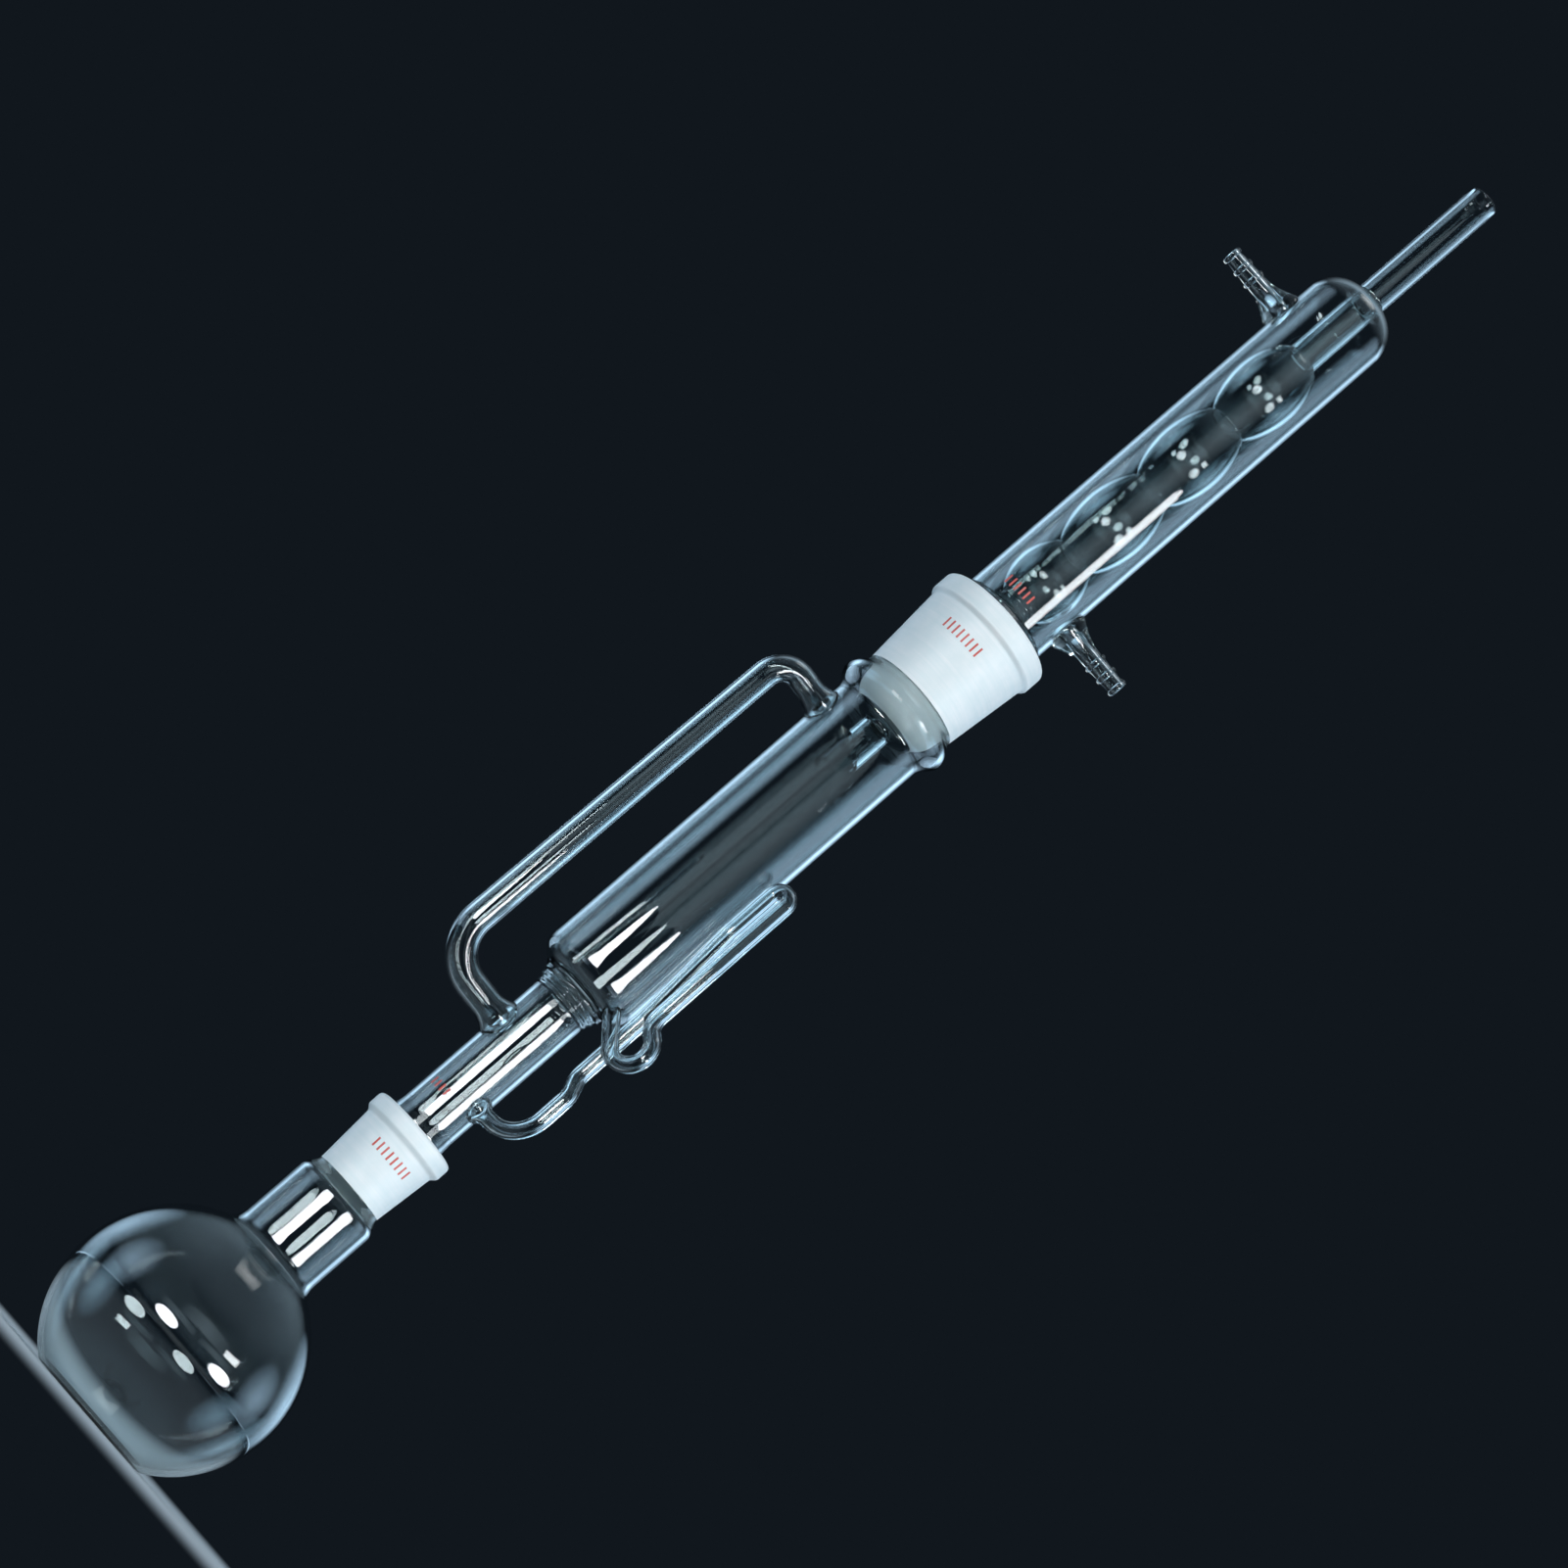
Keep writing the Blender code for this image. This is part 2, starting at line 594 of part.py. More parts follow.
def drip_tip(parent):
    top_z = cone_end_z - WELD_GAP
    low_z = top_z - DRIP_LENGTH
    points = [(drip_r, top_z), (drip_r, low_z), (drip_r - DRIP_WALL, low_z), (drip_r - DRIP_WALL, top_z)]
    tip = turned("drip_tip", points, parent, CLEAR, BULB_TUBE_SEGMENTS)
    size = 2 * (DRIP_DIAMETER + DRIP_LENGTH)
    hang = Matrix.Translation((drip_r, 0, low_z)) @ Matrix.Rotation(DRIP_SLANT, 4, "Y")
    bm = bmesh.new()
    bmesh.ops.create_cube(bm, size=size, matrix=hang @ Matrix.Translation((0, 0, -size / 2)))
    cut(tip, place("drip_slant", bm, parent))


def condenser_jacket(parent, ports):
    hole_r = vent_r + WELD_GAP
    shell = []
    for wall in (0, JACKET_WALL):
        dome = arc((hole_r, dome_z), (jacket_r - wall - hole_r, DOME_HEIGHT - wall), 0, math.pi / 2, 5)
        shell.append(outline([(jacket_r - wall, jacket_z)], dome))
    points = outline(shell[0], shell[1][::-1])
    cut(turned("condenser_jacket", points, parent, CLEAR), *ports)


def bulb_tube(parent):
    neck = BULB_NECK_DIAMETER / 2
    belly = jacket_bore_r - WATER_GAP
    outside = trumpet((neck, bulbs_z), (bulb_foot_r, jacket_z))[::-1]
    low = bulbs_z
    for n in range(BULB_COUNT):
        length = BULB_PITCH if n else LOWEST_BULB_LENGTH
        end = vent_r if n == BULB_COUNT - 1 else neck
        for i in range(1, BULB_STEPS + 1):
            share = i / BULB_STEPS
            base = neck + (end - neck) * share
            outside.append((base + (belly - base) * math.sin(math.pi * share), low + length * share))
        low += length
    outside.append((vent_r, vent_z - WELD_GAP))
    points = outline(outside, inset(outside, BULB_TUBE_WALL)[::-1])
    turned("bulb_tube", points, parent, CLEAR, BULB_TUBE_SEGMENTS)


def vent_tube(parent):
    top_z = dome_top_z + VENT_LENGTH
    bore_r = vent_r - VENT_WALL
    points = [(vent_r, vent_z), (vent_r, top_z), (bore_r, top_z), (bore_r, vent_z)]
    turned("vent_tube", points, parent, CLEAR, BULB_TUBE_SEGMENTS)


def hose_connector(name, height, side, parent):
    # Turned on its own axis, laid along +X or -X, and trimmed to the jacket
    tip = jacket_r + HOSE_LENGTH
    hose_r = HOSE_DIAMETER / 2
    root_end = jacket_r + HOSE_ROOT_LENGTH
    root = trumpet((hose_r, root_end), (HOSE_ROOT_DIAMETER / 2, jacket_r))[::-1]
    outside = [(HOSE_ROOT_DIAMETER / 2, jacket_r - WELD_INSET)] + root
    for n in reversed(range(HOSE_RIDGES)):
        foot = tip - HOSE_TIP - n * HOSE_RIDGE_PITCH
        outside += [(hose_r, foot), (hose_r + HOSE_RIDGE, foot + HOSE_RIDGE)]
    bore = HOSE_BORE / 2
    points = outline(outside, [(hose_r - HOSE_RIDGE, tip), (bore, tip), (bore, jacket_r - WELD_INSET)])
    turn = Matrix.Translation((0, 0, height)) @ Matrix.Rotation(side * math.pi / 2, 4, "Y")
    piece = turned(name, points, parent, CLEAR, HOSE_SEGMENTS, turn)
    reach = HOSE_ROOT_DIAMETER
    cut(piece, drum(name + "_trim", jacket_r + WELD_GAP, height - reach, height + reach, parent))
    return rod(name + "_port", Vector((0, 0, height)), Vector((side * tip, 0, height)), bore, parent)


def build_condenser(parent):
    inlet_port = hose_connector("water_inlet", INLET_HEIGHT, 1, parent)
    outlet_port = hose_connector("water_outlet", bulbs_top_z + OUTLET_RISE, -1, parent)
    condenser_cone(parent)
    drip_tip(parent)
    condenser_jacket(parent, (inlet_port, outlet_port))
    bulb_tube(parent)
    vent_tube(parent)


def main():
    for old in list(bpy.data.objects):
        bpy.data.objects.remove(old, do_unlink=True)
    flask = glass_unit("flask_unit", 0)
    flask_bulb(flask)
    flask_socket(flask)
    build_extractor(glass_unit("extractor_unit", lower_mouth_z))
    build_condenser(glass_unit("condenser_unit", lower_mouth_z + upper_mouth_z))


main()
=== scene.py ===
import json
import math

import bpy
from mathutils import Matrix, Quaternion, Vector

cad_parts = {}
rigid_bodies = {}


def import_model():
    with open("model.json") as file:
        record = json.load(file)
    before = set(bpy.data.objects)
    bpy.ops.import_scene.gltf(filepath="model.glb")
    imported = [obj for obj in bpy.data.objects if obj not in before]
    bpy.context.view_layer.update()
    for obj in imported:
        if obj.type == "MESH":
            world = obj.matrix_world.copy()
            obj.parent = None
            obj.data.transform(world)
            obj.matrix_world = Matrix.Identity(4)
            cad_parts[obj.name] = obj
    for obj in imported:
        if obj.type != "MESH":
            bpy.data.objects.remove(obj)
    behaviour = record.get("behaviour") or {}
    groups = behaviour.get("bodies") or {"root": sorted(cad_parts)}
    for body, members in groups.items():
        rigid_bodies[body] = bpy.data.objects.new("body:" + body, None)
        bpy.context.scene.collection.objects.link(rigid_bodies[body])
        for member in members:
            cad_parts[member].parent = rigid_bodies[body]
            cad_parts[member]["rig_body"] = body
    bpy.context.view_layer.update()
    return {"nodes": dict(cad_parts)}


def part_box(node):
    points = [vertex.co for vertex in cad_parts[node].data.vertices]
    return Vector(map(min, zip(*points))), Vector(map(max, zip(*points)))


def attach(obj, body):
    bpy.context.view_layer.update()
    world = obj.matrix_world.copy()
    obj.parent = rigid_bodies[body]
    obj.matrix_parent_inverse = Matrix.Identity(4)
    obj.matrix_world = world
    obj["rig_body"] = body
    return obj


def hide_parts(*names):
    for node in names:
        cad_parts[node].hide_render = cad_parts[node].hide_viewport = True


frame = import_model()
print("frame loaded with", len(frame["nodes"]), "glass nodes")

# What every glass piece shares
glasswork = {
    "turnSteps": 144,                 # faces round a turned piece
    "tubeSides": 96,                  # faces round a bent tube
    "bendStep": math.radians(5),
    "longestStep": 0.004,             # rays slip on long thin faces, so straight runs are cut this short
    "overlap": 0.00002,               # fused pieces run into each other by a hair
    "weldInset": 0.003,               # how far a tube's end starts inside the wall it is welded to
    "weldSteps": 8,                   # rings along the flare of a weld
    "mergeDistance": 0.000002,
    "seedSize": 0.0001,
    "smoothAngle": math.radians(40),
}


# Outlines, as lists of (radius, height)

def arcPoints(centre, radii, start, stop, steps):
    points = []
    for i in range(steps + 1):
        angle = start + (stop - start) * i / steps
        points.append((centre[0] + radii[0] * math.cos(angle), centre[1] + radii[1] * math.sin(angle)))
    return points


def easePoints(start, stop, steps=14, sweep=math.pi):
    # an S-curve, or over half the sweep a trumpet that leaves the start straight
    points = []
    for i in range(steps + 1):
        share = i / steps
        blend = (1 - math.cos(sweep * share)) / (1 - math.cos(sweep))
        points.append((start[0] + (stop[0] - start[0]) * blend, start[1] + (stop[1] - start[1]) * share))
    return points


def trumpetPoints(start, stop, steps=12):
    return easePoints(start, stop, steps, math.pi / 2)


def rimPoints(outer, inner, height, up=1, steps=10):
    # fire-polished end of a tube, from the outer wall over to the inner one
    half = (outer - inner) / 2
    return arcPoints((inner + half, height - up * half), (half, up * half), 0, math.pi, steps)


def insetPoints(points, wall):
    return [(radius - wall, height) for radius, height in points]


def joinRuns(*runs):
    points = []
    for run in runs:
        for point in run:
            if not points or math.dist(point, points[-1]) > 2 * glasswork["mergeDistance"]:
                points.append(point)
    return points


def finePoints(points):
    # in-between points along straight runs
    fine = points[:1]
    for here, there in zip(points, points[1:]):
        count = math.ceil(math.dist(here, there) / glasswork["longestStep"])
        for i in range(1, count + 1):
            share = i / count
            fine.append((here[0] + (there[0] - here[0]) * share, here[1] + (there[1] - here[1]) * share))
    return fine


def ripplePoints(points, depth, waves):
    # the shallow rings that a weld leaves
    last = len(points) - 1
    return [(radius - depth * math.sin(math.pi * waves * i / last) ** 2, height)
            for i, (radius, height) in enumerate(points)]


def weldHeight(lower, upper):
    return (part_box(lower)[1].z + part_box(upper)[0].z) / 2


def aboveWeld(lower, upper):
    return weldHeight(lower, upper) - glasswork["overlap"] / 2


def belowWeld(lower, upper):
    return weldHeight(lower, upper) + glasswork["overlap"] / 2


# Modelling by hand

def takeUp(piece):
    bpy.ops.object.select_all(action="DESELECT")
    piece.select_set(True)
    bpy.context.view_layer.objects.active = piece


def startPiece(name):
    # a lone point at the origin, in edit mode
    bpy.ops.object.select_all(action="DESELECT")
    bpy.ops.mesh.primitive_plane_add(size=glasswork["seedSize"])
    piece = bpy.context.object
    piece.name = name
    piece.data.name = name
    bpy.ops.object.mode_set(mode="EDIT")
    bpy.ops.mesh.merge(type="CENTER")
    return piece


def drawOutline(points):
    # the selected point is moved to the start, then pulled along
    bpy.ops.transform.translate(value=points[0])
    for here, there in zip(points, points[1:]):
        bpy.ops.mesh.extrude_region_move(TRANSFORM_OT_translate={"value": there - here})


def closeShell():
    bpy.ops.mesh.select_all(action="SELECT")
    bpy.ops.mesh.remove_doubles(threshold=glasswork["mergeDistance"])
    bpy.ops.mesh.normals_make_consistent(inside=False)
    bpy.ops.object.mode_set(mode="OBJECT")


def turnPiece(name, points):
    # a ring's outline comes back to its start, and a vessel's starts and ends on the axis
    piece = startPiece(name)
    if points[0][0] > 0:
        points = points + points[:1]
    drawOutline([Vector((radius, 0, height)) for radius, height in finePoints(points)])
    bpy.ops.mesh.select_all(action="SELECT")
    bpy.ops.mesh.spin(steps=glasswork["turnSteps"], angle=math.tau, center=(0, 0, 0), axis=(0, 0, 1))
    closeShell()
    return piece


def bendRuns(corners):
    # straight runs and bends between corners; two bends that would meet are both drawn tighter
    points = [corner["at"] for corner in corners]
    runs = [b - a for a, b in zip(points, points[1:])]
    turns = [0.0] + [a.angle(b) for a, b in zip(runs, runs[1:])] + [0.0]
    reach = [corner["bend"] * math.tan(turn / 2) for corner, turn in zip(corners, turns)]
    room = [min(1.0, run.length / max(reach[i] + reach[i + 1], 1e-9)) for i, run in enumerate(runs)]
    return [reach[i] * min(room[max(i - 1, 0)], room[min(i, len(room) - 1)]) for i in range(len(points))]


def bendTube(name, corners, wall):
    # a ring is pulled along the straight runs, spun round the bends and resized on the way
    points = [corner["at"] for corner in corners]
    reach = bendRuns(corners)
    heading = (points[1] - points[0]).normalized()
    radius = corners[0]["radius"]
    bpy.ops.object.select_all(action="DESELECT")
    bpy.ops.mesh.primitive_circle_add(vertices=glasswork["tubeSides"], radius=radius, location=points[0],
                                      rotation=heading.to_track_quat("Z", "Y").to_euler())
    piece = bpy.context.object
    piece.name = name
    piece.data.name = name
    bpy.ops.object.transform_apply(location=True, rotation=True, scale=True)
    bpy.ops.object.mode_set(mode="EDIT")
    here = points[0]
    for i in range(1, len(points)):
        there = points[i] - heading * reach[i]
        count = math.ceil((there - here).length / glasswork["longestStep"])
        if (there - here).length > glasswork["mergeDistance"]:
            grow = (corners[i]["radius"] / radius) ** (1 / count)
            step = (there - here) / count
            for n in range(1, count + 1):
                bpy.ops.mesh.extrude_region_move(TRANSFORM_OT_translate={"value": step})
                bpy.ops.transform.resize(value=(grow, grow, grow), center_override=here + step * n)
            radius = corners[i]["radius"]
        here = there
        if reach[i] > glasswork["mergeDistance"]:
            onward = (points[i + 1] - points[i]).normalized()
            turn = heading.angle(onward)
            axis = heading.cross(onward).normalized()
            centre = here + axis.cross(heading) * reach[i] / math.tan(turn / 2)
            steps = math.ceil(turn / glasswork["bendStep"])
            bpy.ops.mesh.spin(steps=steps, angle=-turn, center=centre, axis=axis)
            heading = onward
            here = points[i] + onward * reach[i]
    closeShell()
    bpy.ops.object.modifier_add(type="SOLIDIFY")
    piece.modifiers[-1].thickness = wall
    piece.modifiers[-1].offset = -1
    bpy.ops.object.modifier_apply(modifier=piece.modifiers[-1].name)
    return piece


def weldCorners(start, stop, radius, flare, length):
    # the end of a tube at its weld: inside the wall, then a flare that eases off
    along = (stop - start).normalized()
    corners = [{"at": start, "bend": 0.0, "radius": radius + flare}]
    for i in range(glasswork["weldSteps"] + 1):
        share = i / glasswork["weldSteps"]
        corners.append({"at": start + along * (glasswork["weldInset"] + length * share), "bend": 0.0,
                        "radius": radius + flare * (1 - share) ** 2})
    return corners


def cutAway(piece, cutter):
    takeUp(piece)
    bpy.ops.object.modifier_add(type="BOOLEAN")
    piece.modifiers[-1].operation = "DIFFERENCE"
    piece.modifiers[-1].solver = "EXACT"
    piece.modifiers[-1].object = cutter
    bpy.ops.object.modifier_apply(modifier=piece.modifiers[-1].name)


def dropCutter(cutter):
    takeUp(cutter)
    bpy.ops.object.delete()


def drillPort(piece, start, stop, radius):
    bpy.ops.object.select_all(action="DESELECT")
    turn = (stop - start).to_track_quat("Z", "Y").to_euler()
    bpy.ops.mesh.primitive_cylinder_add(vertices=glasswork["tubeSides"], radius=radius,
                                        depth=(stop - start).length, location=(start + stop) / 2,
                                        rotation=turn)
    drill = bpy.context.object
    cutAway(piece, drill)
    dropCutter(drill)


def trimToDrum(piece, radius, low, high):
    bpy.ops.object.select_all(action="DESELECT")
    bpy.ops.mesh.primitive_cylinder_add(vertices=2 * glasswork["turnSteps"], radius=radius,
                                        depth=high - low, location=(0, 0, (low + high) / 2))
    drum = bpy.context.object
    cutAway(piece, drum)
    dropCutter(drum)


def finishPiece(piece, node, slot, *finishes):
    for finish in finishes:
        piece.data.materials.append(finish)
    takeUp(piece)
    bpy.ops.object.shade_smooth_by_angle(angle=glasswork["smoothAngle"])
    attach(piece, frame["nodes"][node]["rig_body"])
    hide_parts(node)


def radialPoint(azimuth, radius, height, offset=0.0):
    out = Vector((math.cos(azimuth), math.sin(azimuth), 0))
    across = Vector((-math.sin(azimuth), math.cos(azimuth), 0))
    return out * radius + across * offset + Vector((0, 0, height))


# Materials: a colour mix takes its two colours on sockets 6 and 7 and gives the result on output 2

def srgb(code):
    parts = [int(code[i:i + 2], 16) / 255 for i in (1, 3, 5)]
    return tuple(p / 12.92 if p <= 0.04045 else ((p + 0.055) / 1.055) ** 2.4 for p in parts) + (1.0,)


def addNode(tree, kind, settings, links=()):
    node = tree.nodes.new(kind)
    for name, value in settings.items():
        if name in node.inputs:
            node.inputs[name].default_value = value
        else:
            setattr(node, name, value)
    for source, name in links:
        tree.links.new(source, node.inputs[name])
    return node


def newMaterial(name):
    material = bpy.data.materials.new(name)
    material.use_nodes = True
    material.node_tree.nodes.clear()
    return material, material.node_tree


# Drawn borosilicate glass, fire-polished: clear with a breath of blue-green where it is thick,
# faint draw lines along the tubes that make highlights waver, and a few dull smudges
clearGlass = {
    "tint": "#F8FCFC",
    "patchTint": "#EEF7F8",
    "ior": 1.473,
    "polish": 0.0,
    "smudge": 0.012,
    "smudgeSize": 0.022,
    "smudgeFrom": 0.5,                # noise levels between which the glass dulls
    "smudgeTo": 0.8,
    "drawLineWidth": 0.006,           # real draw lines are finer and wouldn't show
    "drawLineStretch": 0.04,
    "drawLineDepth": 0.0000018,
    "thickColour": "#9FD6D2",
    "thickDensity": 9.0,              # per metre of glass
}


def mixClearGlass():
    material, tree = newMaterial("drawnBorosilicateGlass")
    place = addNode(tree, "ShaderNodeTexCoord", {}).outputs["Object"]
    smudge = addNode(tree, "ShaderNodeTexNoise", {"Scale": 1 / clearGlass["smudgeSize"], "Detail": 4.0},
                     [(place, "Vector")])
    dull = addNode(tree, "ShaderNodeMapRange",
                   {"From Min": clearGlass["smudgeFrom"], "From Max": clearGlass["smudgeTo"],
                    "To Min": clearGlass["polish"], "To Max": clearGlass["smudge"]},
                   [(smudge.outputs["Fac"], "Value")])
    tint = addNode(tree, "ShaderNodeMix", {"data_type": "RGBA"}, [(smudge.outputs["Fac"], "Factor")])
    tint.inputs[6].default_value = srgb(clearGlass["tint"])
    tint.inputs[7].default_value = srgb(clearGlass["patchTint"])
    drawn = addNode(tree, "ShaderNodeMapping", {"Scale": (1, 1, clearGlass["drawLineStretch"])},
                    [(place, "Vector")])
    lines = addNode(tree, "ShaderNodeTexNoise", {"Scale": 1 / clearGlass["drawLineWidth"], "Detail": 1.0},
                    [(drawn.outputs["Vector"], "Vector")])
    waver = addNode(tree, "ShaderNodeBump", {"Strength": 1.0, "Distance": clearGlass["drawLineDepth"]},
                    [(lines.outputs["Fac"], "Height")])
    glass = addNode(tree, "ShaderNodeBsdfPrincipled",
                    {"IOR": clearGlass["ior"], "Transmission Weight": 1.0},
                    [(tint.outputs[2], "Base Color"), (dull.outputs["Result"], "Roughness"),
                     (waver.outputs["Normal"], "Normal")])
    body = addNode(tree, "ShaderNodeVolumeAbsorption",
                   {"Color": srgb(clearGlass["thickColour"]), "Density": clearGlass["thickDensity"]})
    addNode(tree, "ShaderNodeOutputMaterial", {},
            [(glass.outputs["BSDF"], "Surface"), (body.outputs["Volume"], "Volume")])
    return material


# Borosilicate glass ground with fine grit: pale, matt and cloudy, with a fine grain
# and faint rings from the turning lap
groundGlass = {
    "bloom": "#FAFFFF",
    "shade": "#EAF6F7",
    "ior": 1.473,
    "transmission": 0.12,
    "roughLow": 0.42,
    "roughHigh": 0.6,
    "gritSize": 0.0004,               # real grit is about 0.05 mm, too fine to show
    "gritDepth": 0.00003,
    "cloudSize": 0.006,
    "lapSpacing": 0.0012,
    "lapStretch": 0.04,
    "shadeBelow": 0.1,                # clouds times laps, from full shade to full bloom
    "bloomAbove": 0.45,
}


def mixGroundGlass():
    material, tree = newMaterial("groundBorosilicateGlass")
    place = addNode(tree, "ShaderNodeTexCoord", {}).outputs["Object"]
    cloud = addNode(tree, "ShaderNodeTexNoise", {"Scale": 1 / groundGlass["cloudSize"], "Detail": 3.0},
                    [(place, "Vector")])
    stretch = groundGlass["lapStretch"]
    turned = addNode(tree, "ShaderNodeMapping", {"Scale": (stretch, stretch, 1)}, [(place, "Vector")])
    laps = addNode(tree, "ShaderNodeTexNoise", {"Scale": 1 / groundGlass["lapSpacing"], "Detail": 2.0},
                   [(turned.outputs["Vector"], "Vector")])
    blend = addNode(tree, "ShaderNodeMath", {"operation": "MULTIPLY"},
                    [(cloud.outputs["Fac"], 0), (laps.outputs["Fac"], 1)])
    spread = addNode(tree, "ShaderNodeMapRange",
                     {"From Min": groundGlass["shadeBelow"], "From Max": groundGlass["bloomAbove"]},
                     [(blend.outputs["Value"], "Value")])
    tone = addNode(tree, "ShaderNodeMix", {"data_type": "RGBA"}, [(spread.outputs["Result"], "Factor")])
    tone.inputs[6].default_value = srgb(groundGlass["shade"])
    tone.inputs[7].default_value = srgb(groundGlass["bloom"])
    rough = addNode(tree, "ShaderNodeMapRange",
                    {"To Min": groundGlass["roughLow"], "To Max": groundGlass["roughHigh"]},
                    [(cloud.outputs["Fac"], "Value")])
    grit = addNode(tree, "ShaderNodeTexNoise", {"Scale": 1 / groundGlass["gritSize"], "Detail": 2.0},
                   [(place, "Vector")])
    grain = addNode(tree, "ShaderNodeBump", {"Strength": 1.0, "Distance": groundGlass["gritDepth"]},
                    [(grit.outputs["Fac"], "Height")])
    glass = addNode(tree, "ShaderNodeBsdfPrincipled",
                    {"IOR": groundGlass["ior"], "Transmission Weight": groundGlass["transmission"]},
                    [(tone.outputs[2], "Base Color"), (rough.outputs["Result"], "Roughness"),
                     (grain.outputs["Normal"], "Normal")])
    addNode(tree, "ShaderNodeOutputMaterial", {}, [(glass.outputs["BSDF"], "Surface")])
    return material


# Red ceramic ink, screen-printed and fired on: dull, a little thin and uneven
redInk = {
    "full": "#C23A35",
    "thin": "#D9766C",
    "patchSize": 0.0015,
    "roughness": 0.45,
}


def mixRedInk():
    material, tree = newMaterial("firedRedInk")
    place = addNode(tree, "ShaderNodeTexCoord", {}).outputs["Object"]
    patch = addNode(tree, "ShaderNodeTexNoise", {"Scale": 1 / redInk["patchSize"], "Detail": 3.0},
                    [(place, "Vector")])
    tone = addNode(tree, "ShaderNodeMix", {"data_type": "RGBA"}, [(patch.outputs["Fac"], "Factor")])
    tone.inputs[6].default_value = srgb(redInk["full"])
    tone.inputs[7].default_value = srgb(redInk["thin"])
    ink = addNode(tree, "ShaderNodeBsdfPrincipled", {"Roughness": redInk["roughness"]},
                  [(tone.outputs[2], "Base Color")])
    addNode(tree, "ShaderNodeOutputMaterial", {}, [(ink.outputs["BSDF"], "Surface")])
    return material


clearFinish = mixClearGlass()
groundFinish = mixGroundGlass()
inkFinish = mixRedInk()
print("materials mixed: clear glass, ground glass, red ink")


# Ground joints: the taper runs 1 in 10, as on standard ware
lowerJoint = {
    "mouthRadius": 0.012,
    "taper": 0.05,
    "socketWall": 0.0033,
    "rimWall": 0.0037,
    "rimProud": 0.0017,
    "rimHeight": 0.0080,
    "rimEdge": 0.0016,
    "lip": 0.0005,
    "coneWall": 0.0018,
    "clearance": 0.0003,
}
upperJoint = {
    "mouthRadius": 0.020,
    "taper": 0.05,
    "socketWall": 0.0019,
    "rimWall": 0.0029,
    "rimProud": 0.0015,
    "rimHeight": 0.0096,
    "rimEdge": 0.0016,
    "lip": 0.0005,
    "coneWall": 0.0022,
    "clearance": 0.0003,
}
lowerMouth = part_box("flask_socket")[1].z
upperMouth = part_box("extractor_socket")[1].z


def footRadius(joint, socket):
    low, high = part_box(socket)
    return joint["mouthRadius"] - (high.z - low.z) * joint["taper"]


def bodyRadius(joint):
    return joint["mouthRadius"] - joint["rimHeight"] * joint["taper"] + joint["rimWall"]


def socketPoints(joint, socket, foot):
    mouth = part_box(socket)[1].z
    step = mouth - joint["rimHeight"]
    body = bodyRadius(joint)
    rim = body + joint["rimProud"]
    inside = footRadius(joint, socket)
    edge = joint["rimEdge"]
    lip = joint["lip"]
    rise = 1.6 * joint["rimProud"]    # height of the swell under the rim
    swell = easePoints((body, step), (rim, step + rise), steps=10)
    outerEdge = arcPoints((rim - edge, mouth - edge), (edge, edge), 0, math.pi / 2, steps=8)
    innerEdge = arcPoints((joint["mouthRadius"] + lip, mouth - lip), (lip, lip),
                          math.pi / 2, math.pi, steps=5)
    return joinRuns([(inside, foot), (inside + joint["socketWall"], foot)], swell, outerEdge, innerEdge)


def turnSocket(joint, below, socket):
    piece = turnPiece(socket + "_glass", socketPoints(joint, socket, aboveWeld(below, socket)))
    finishPiece(piece, socket, "ground_glass", groundFinish)


# Flask: blown bulb with a flat base, and the socket on its neck
flaskBulb = {
    "wall": 0.0018,
    "baseRadius": 0.0235,
    "baseDish": 0.0005,               # the base stands on its rim
    "knuckle": 0.0028,
    "neckRadius": 0.017,
    "neckFillet": 0.006,
    "shoulderHeight": 0.0065,
}


def blowFlaskBulb():
    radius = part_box("flask_bulb")[1].x
    base = flaskBulb["baseRadius"]
    knuckle = flaskBulb["knuckle"]
    neck = flaskBulb["neckRadius"]
    fillet = flaskBulb["neckFillet"]
    centre = knuckle + math.sqrt((radius - knuckle) ** 2 - base ** 2)
    throat = centre + math.sqrt((radius + fillet) ** 2 - (neck + fillet) ** 2)
    top = belowWeld("flask_bulb", "flask_socket")
    foot = footRadius(lowerJoint, "flask_socket")
    sole = math.atan2(knuckle - centre, base)
    lean = math.atan2(throat - centre, neck + fillet)
    walls = []
    for wall, end in ((0, foot + lowerJoint["socketWall"]), (flaskBulb["wall"], foot)):
        floor = easePoints((0, wall + flaskBulb["baseDish"]), (base, wall), steps=12)
        corner = arcPoints((base, knuckle), (knuckle - wall, knuckle - wall), -math.pi / 2, sole, steps=8)
        belly = arcPoints((0, centre), (radius - wall, radius - wall), sole, lean, steps=64)
        curve = arcPoints((neck + fillet, throat), (fillet + wall, fillet + wall),
                          math.pi + lean, math.pi, steps=14)
        shoulder = easePoints((neck - wall, top - flaskBulb["shoulderHeight"]), (end, top))
        walls.append(joinRuns(floor, corner, belly, curve, shoulder))
    piece = turnPiece("flask_bulb_glass", joinRuns(walls[0], walls[1][::-1]))
    finishPiece(piece, "flask_bulb", "clear_glass", clearFinish)


blowFlaskBulb()
turnSocket(lowerJoint, "flask_bulb", "flask_socket")
print("flask blown")


# Extractor: cone, vapour tube and chamber on the axis
vapourTube = {
    "radius": 0.0113,
    "wall": 0.0015,
    "flareHeight": 0.008,
    "fillet": 0.002,                  # rounded bore at the thick weld under the chamber
    "ripple": 0.0005,
    "ripples": 4,
}
chamber = {
    "wall": 0.0016,
    "corner": 0.008,
    "collarPeak": 0.0082,
}


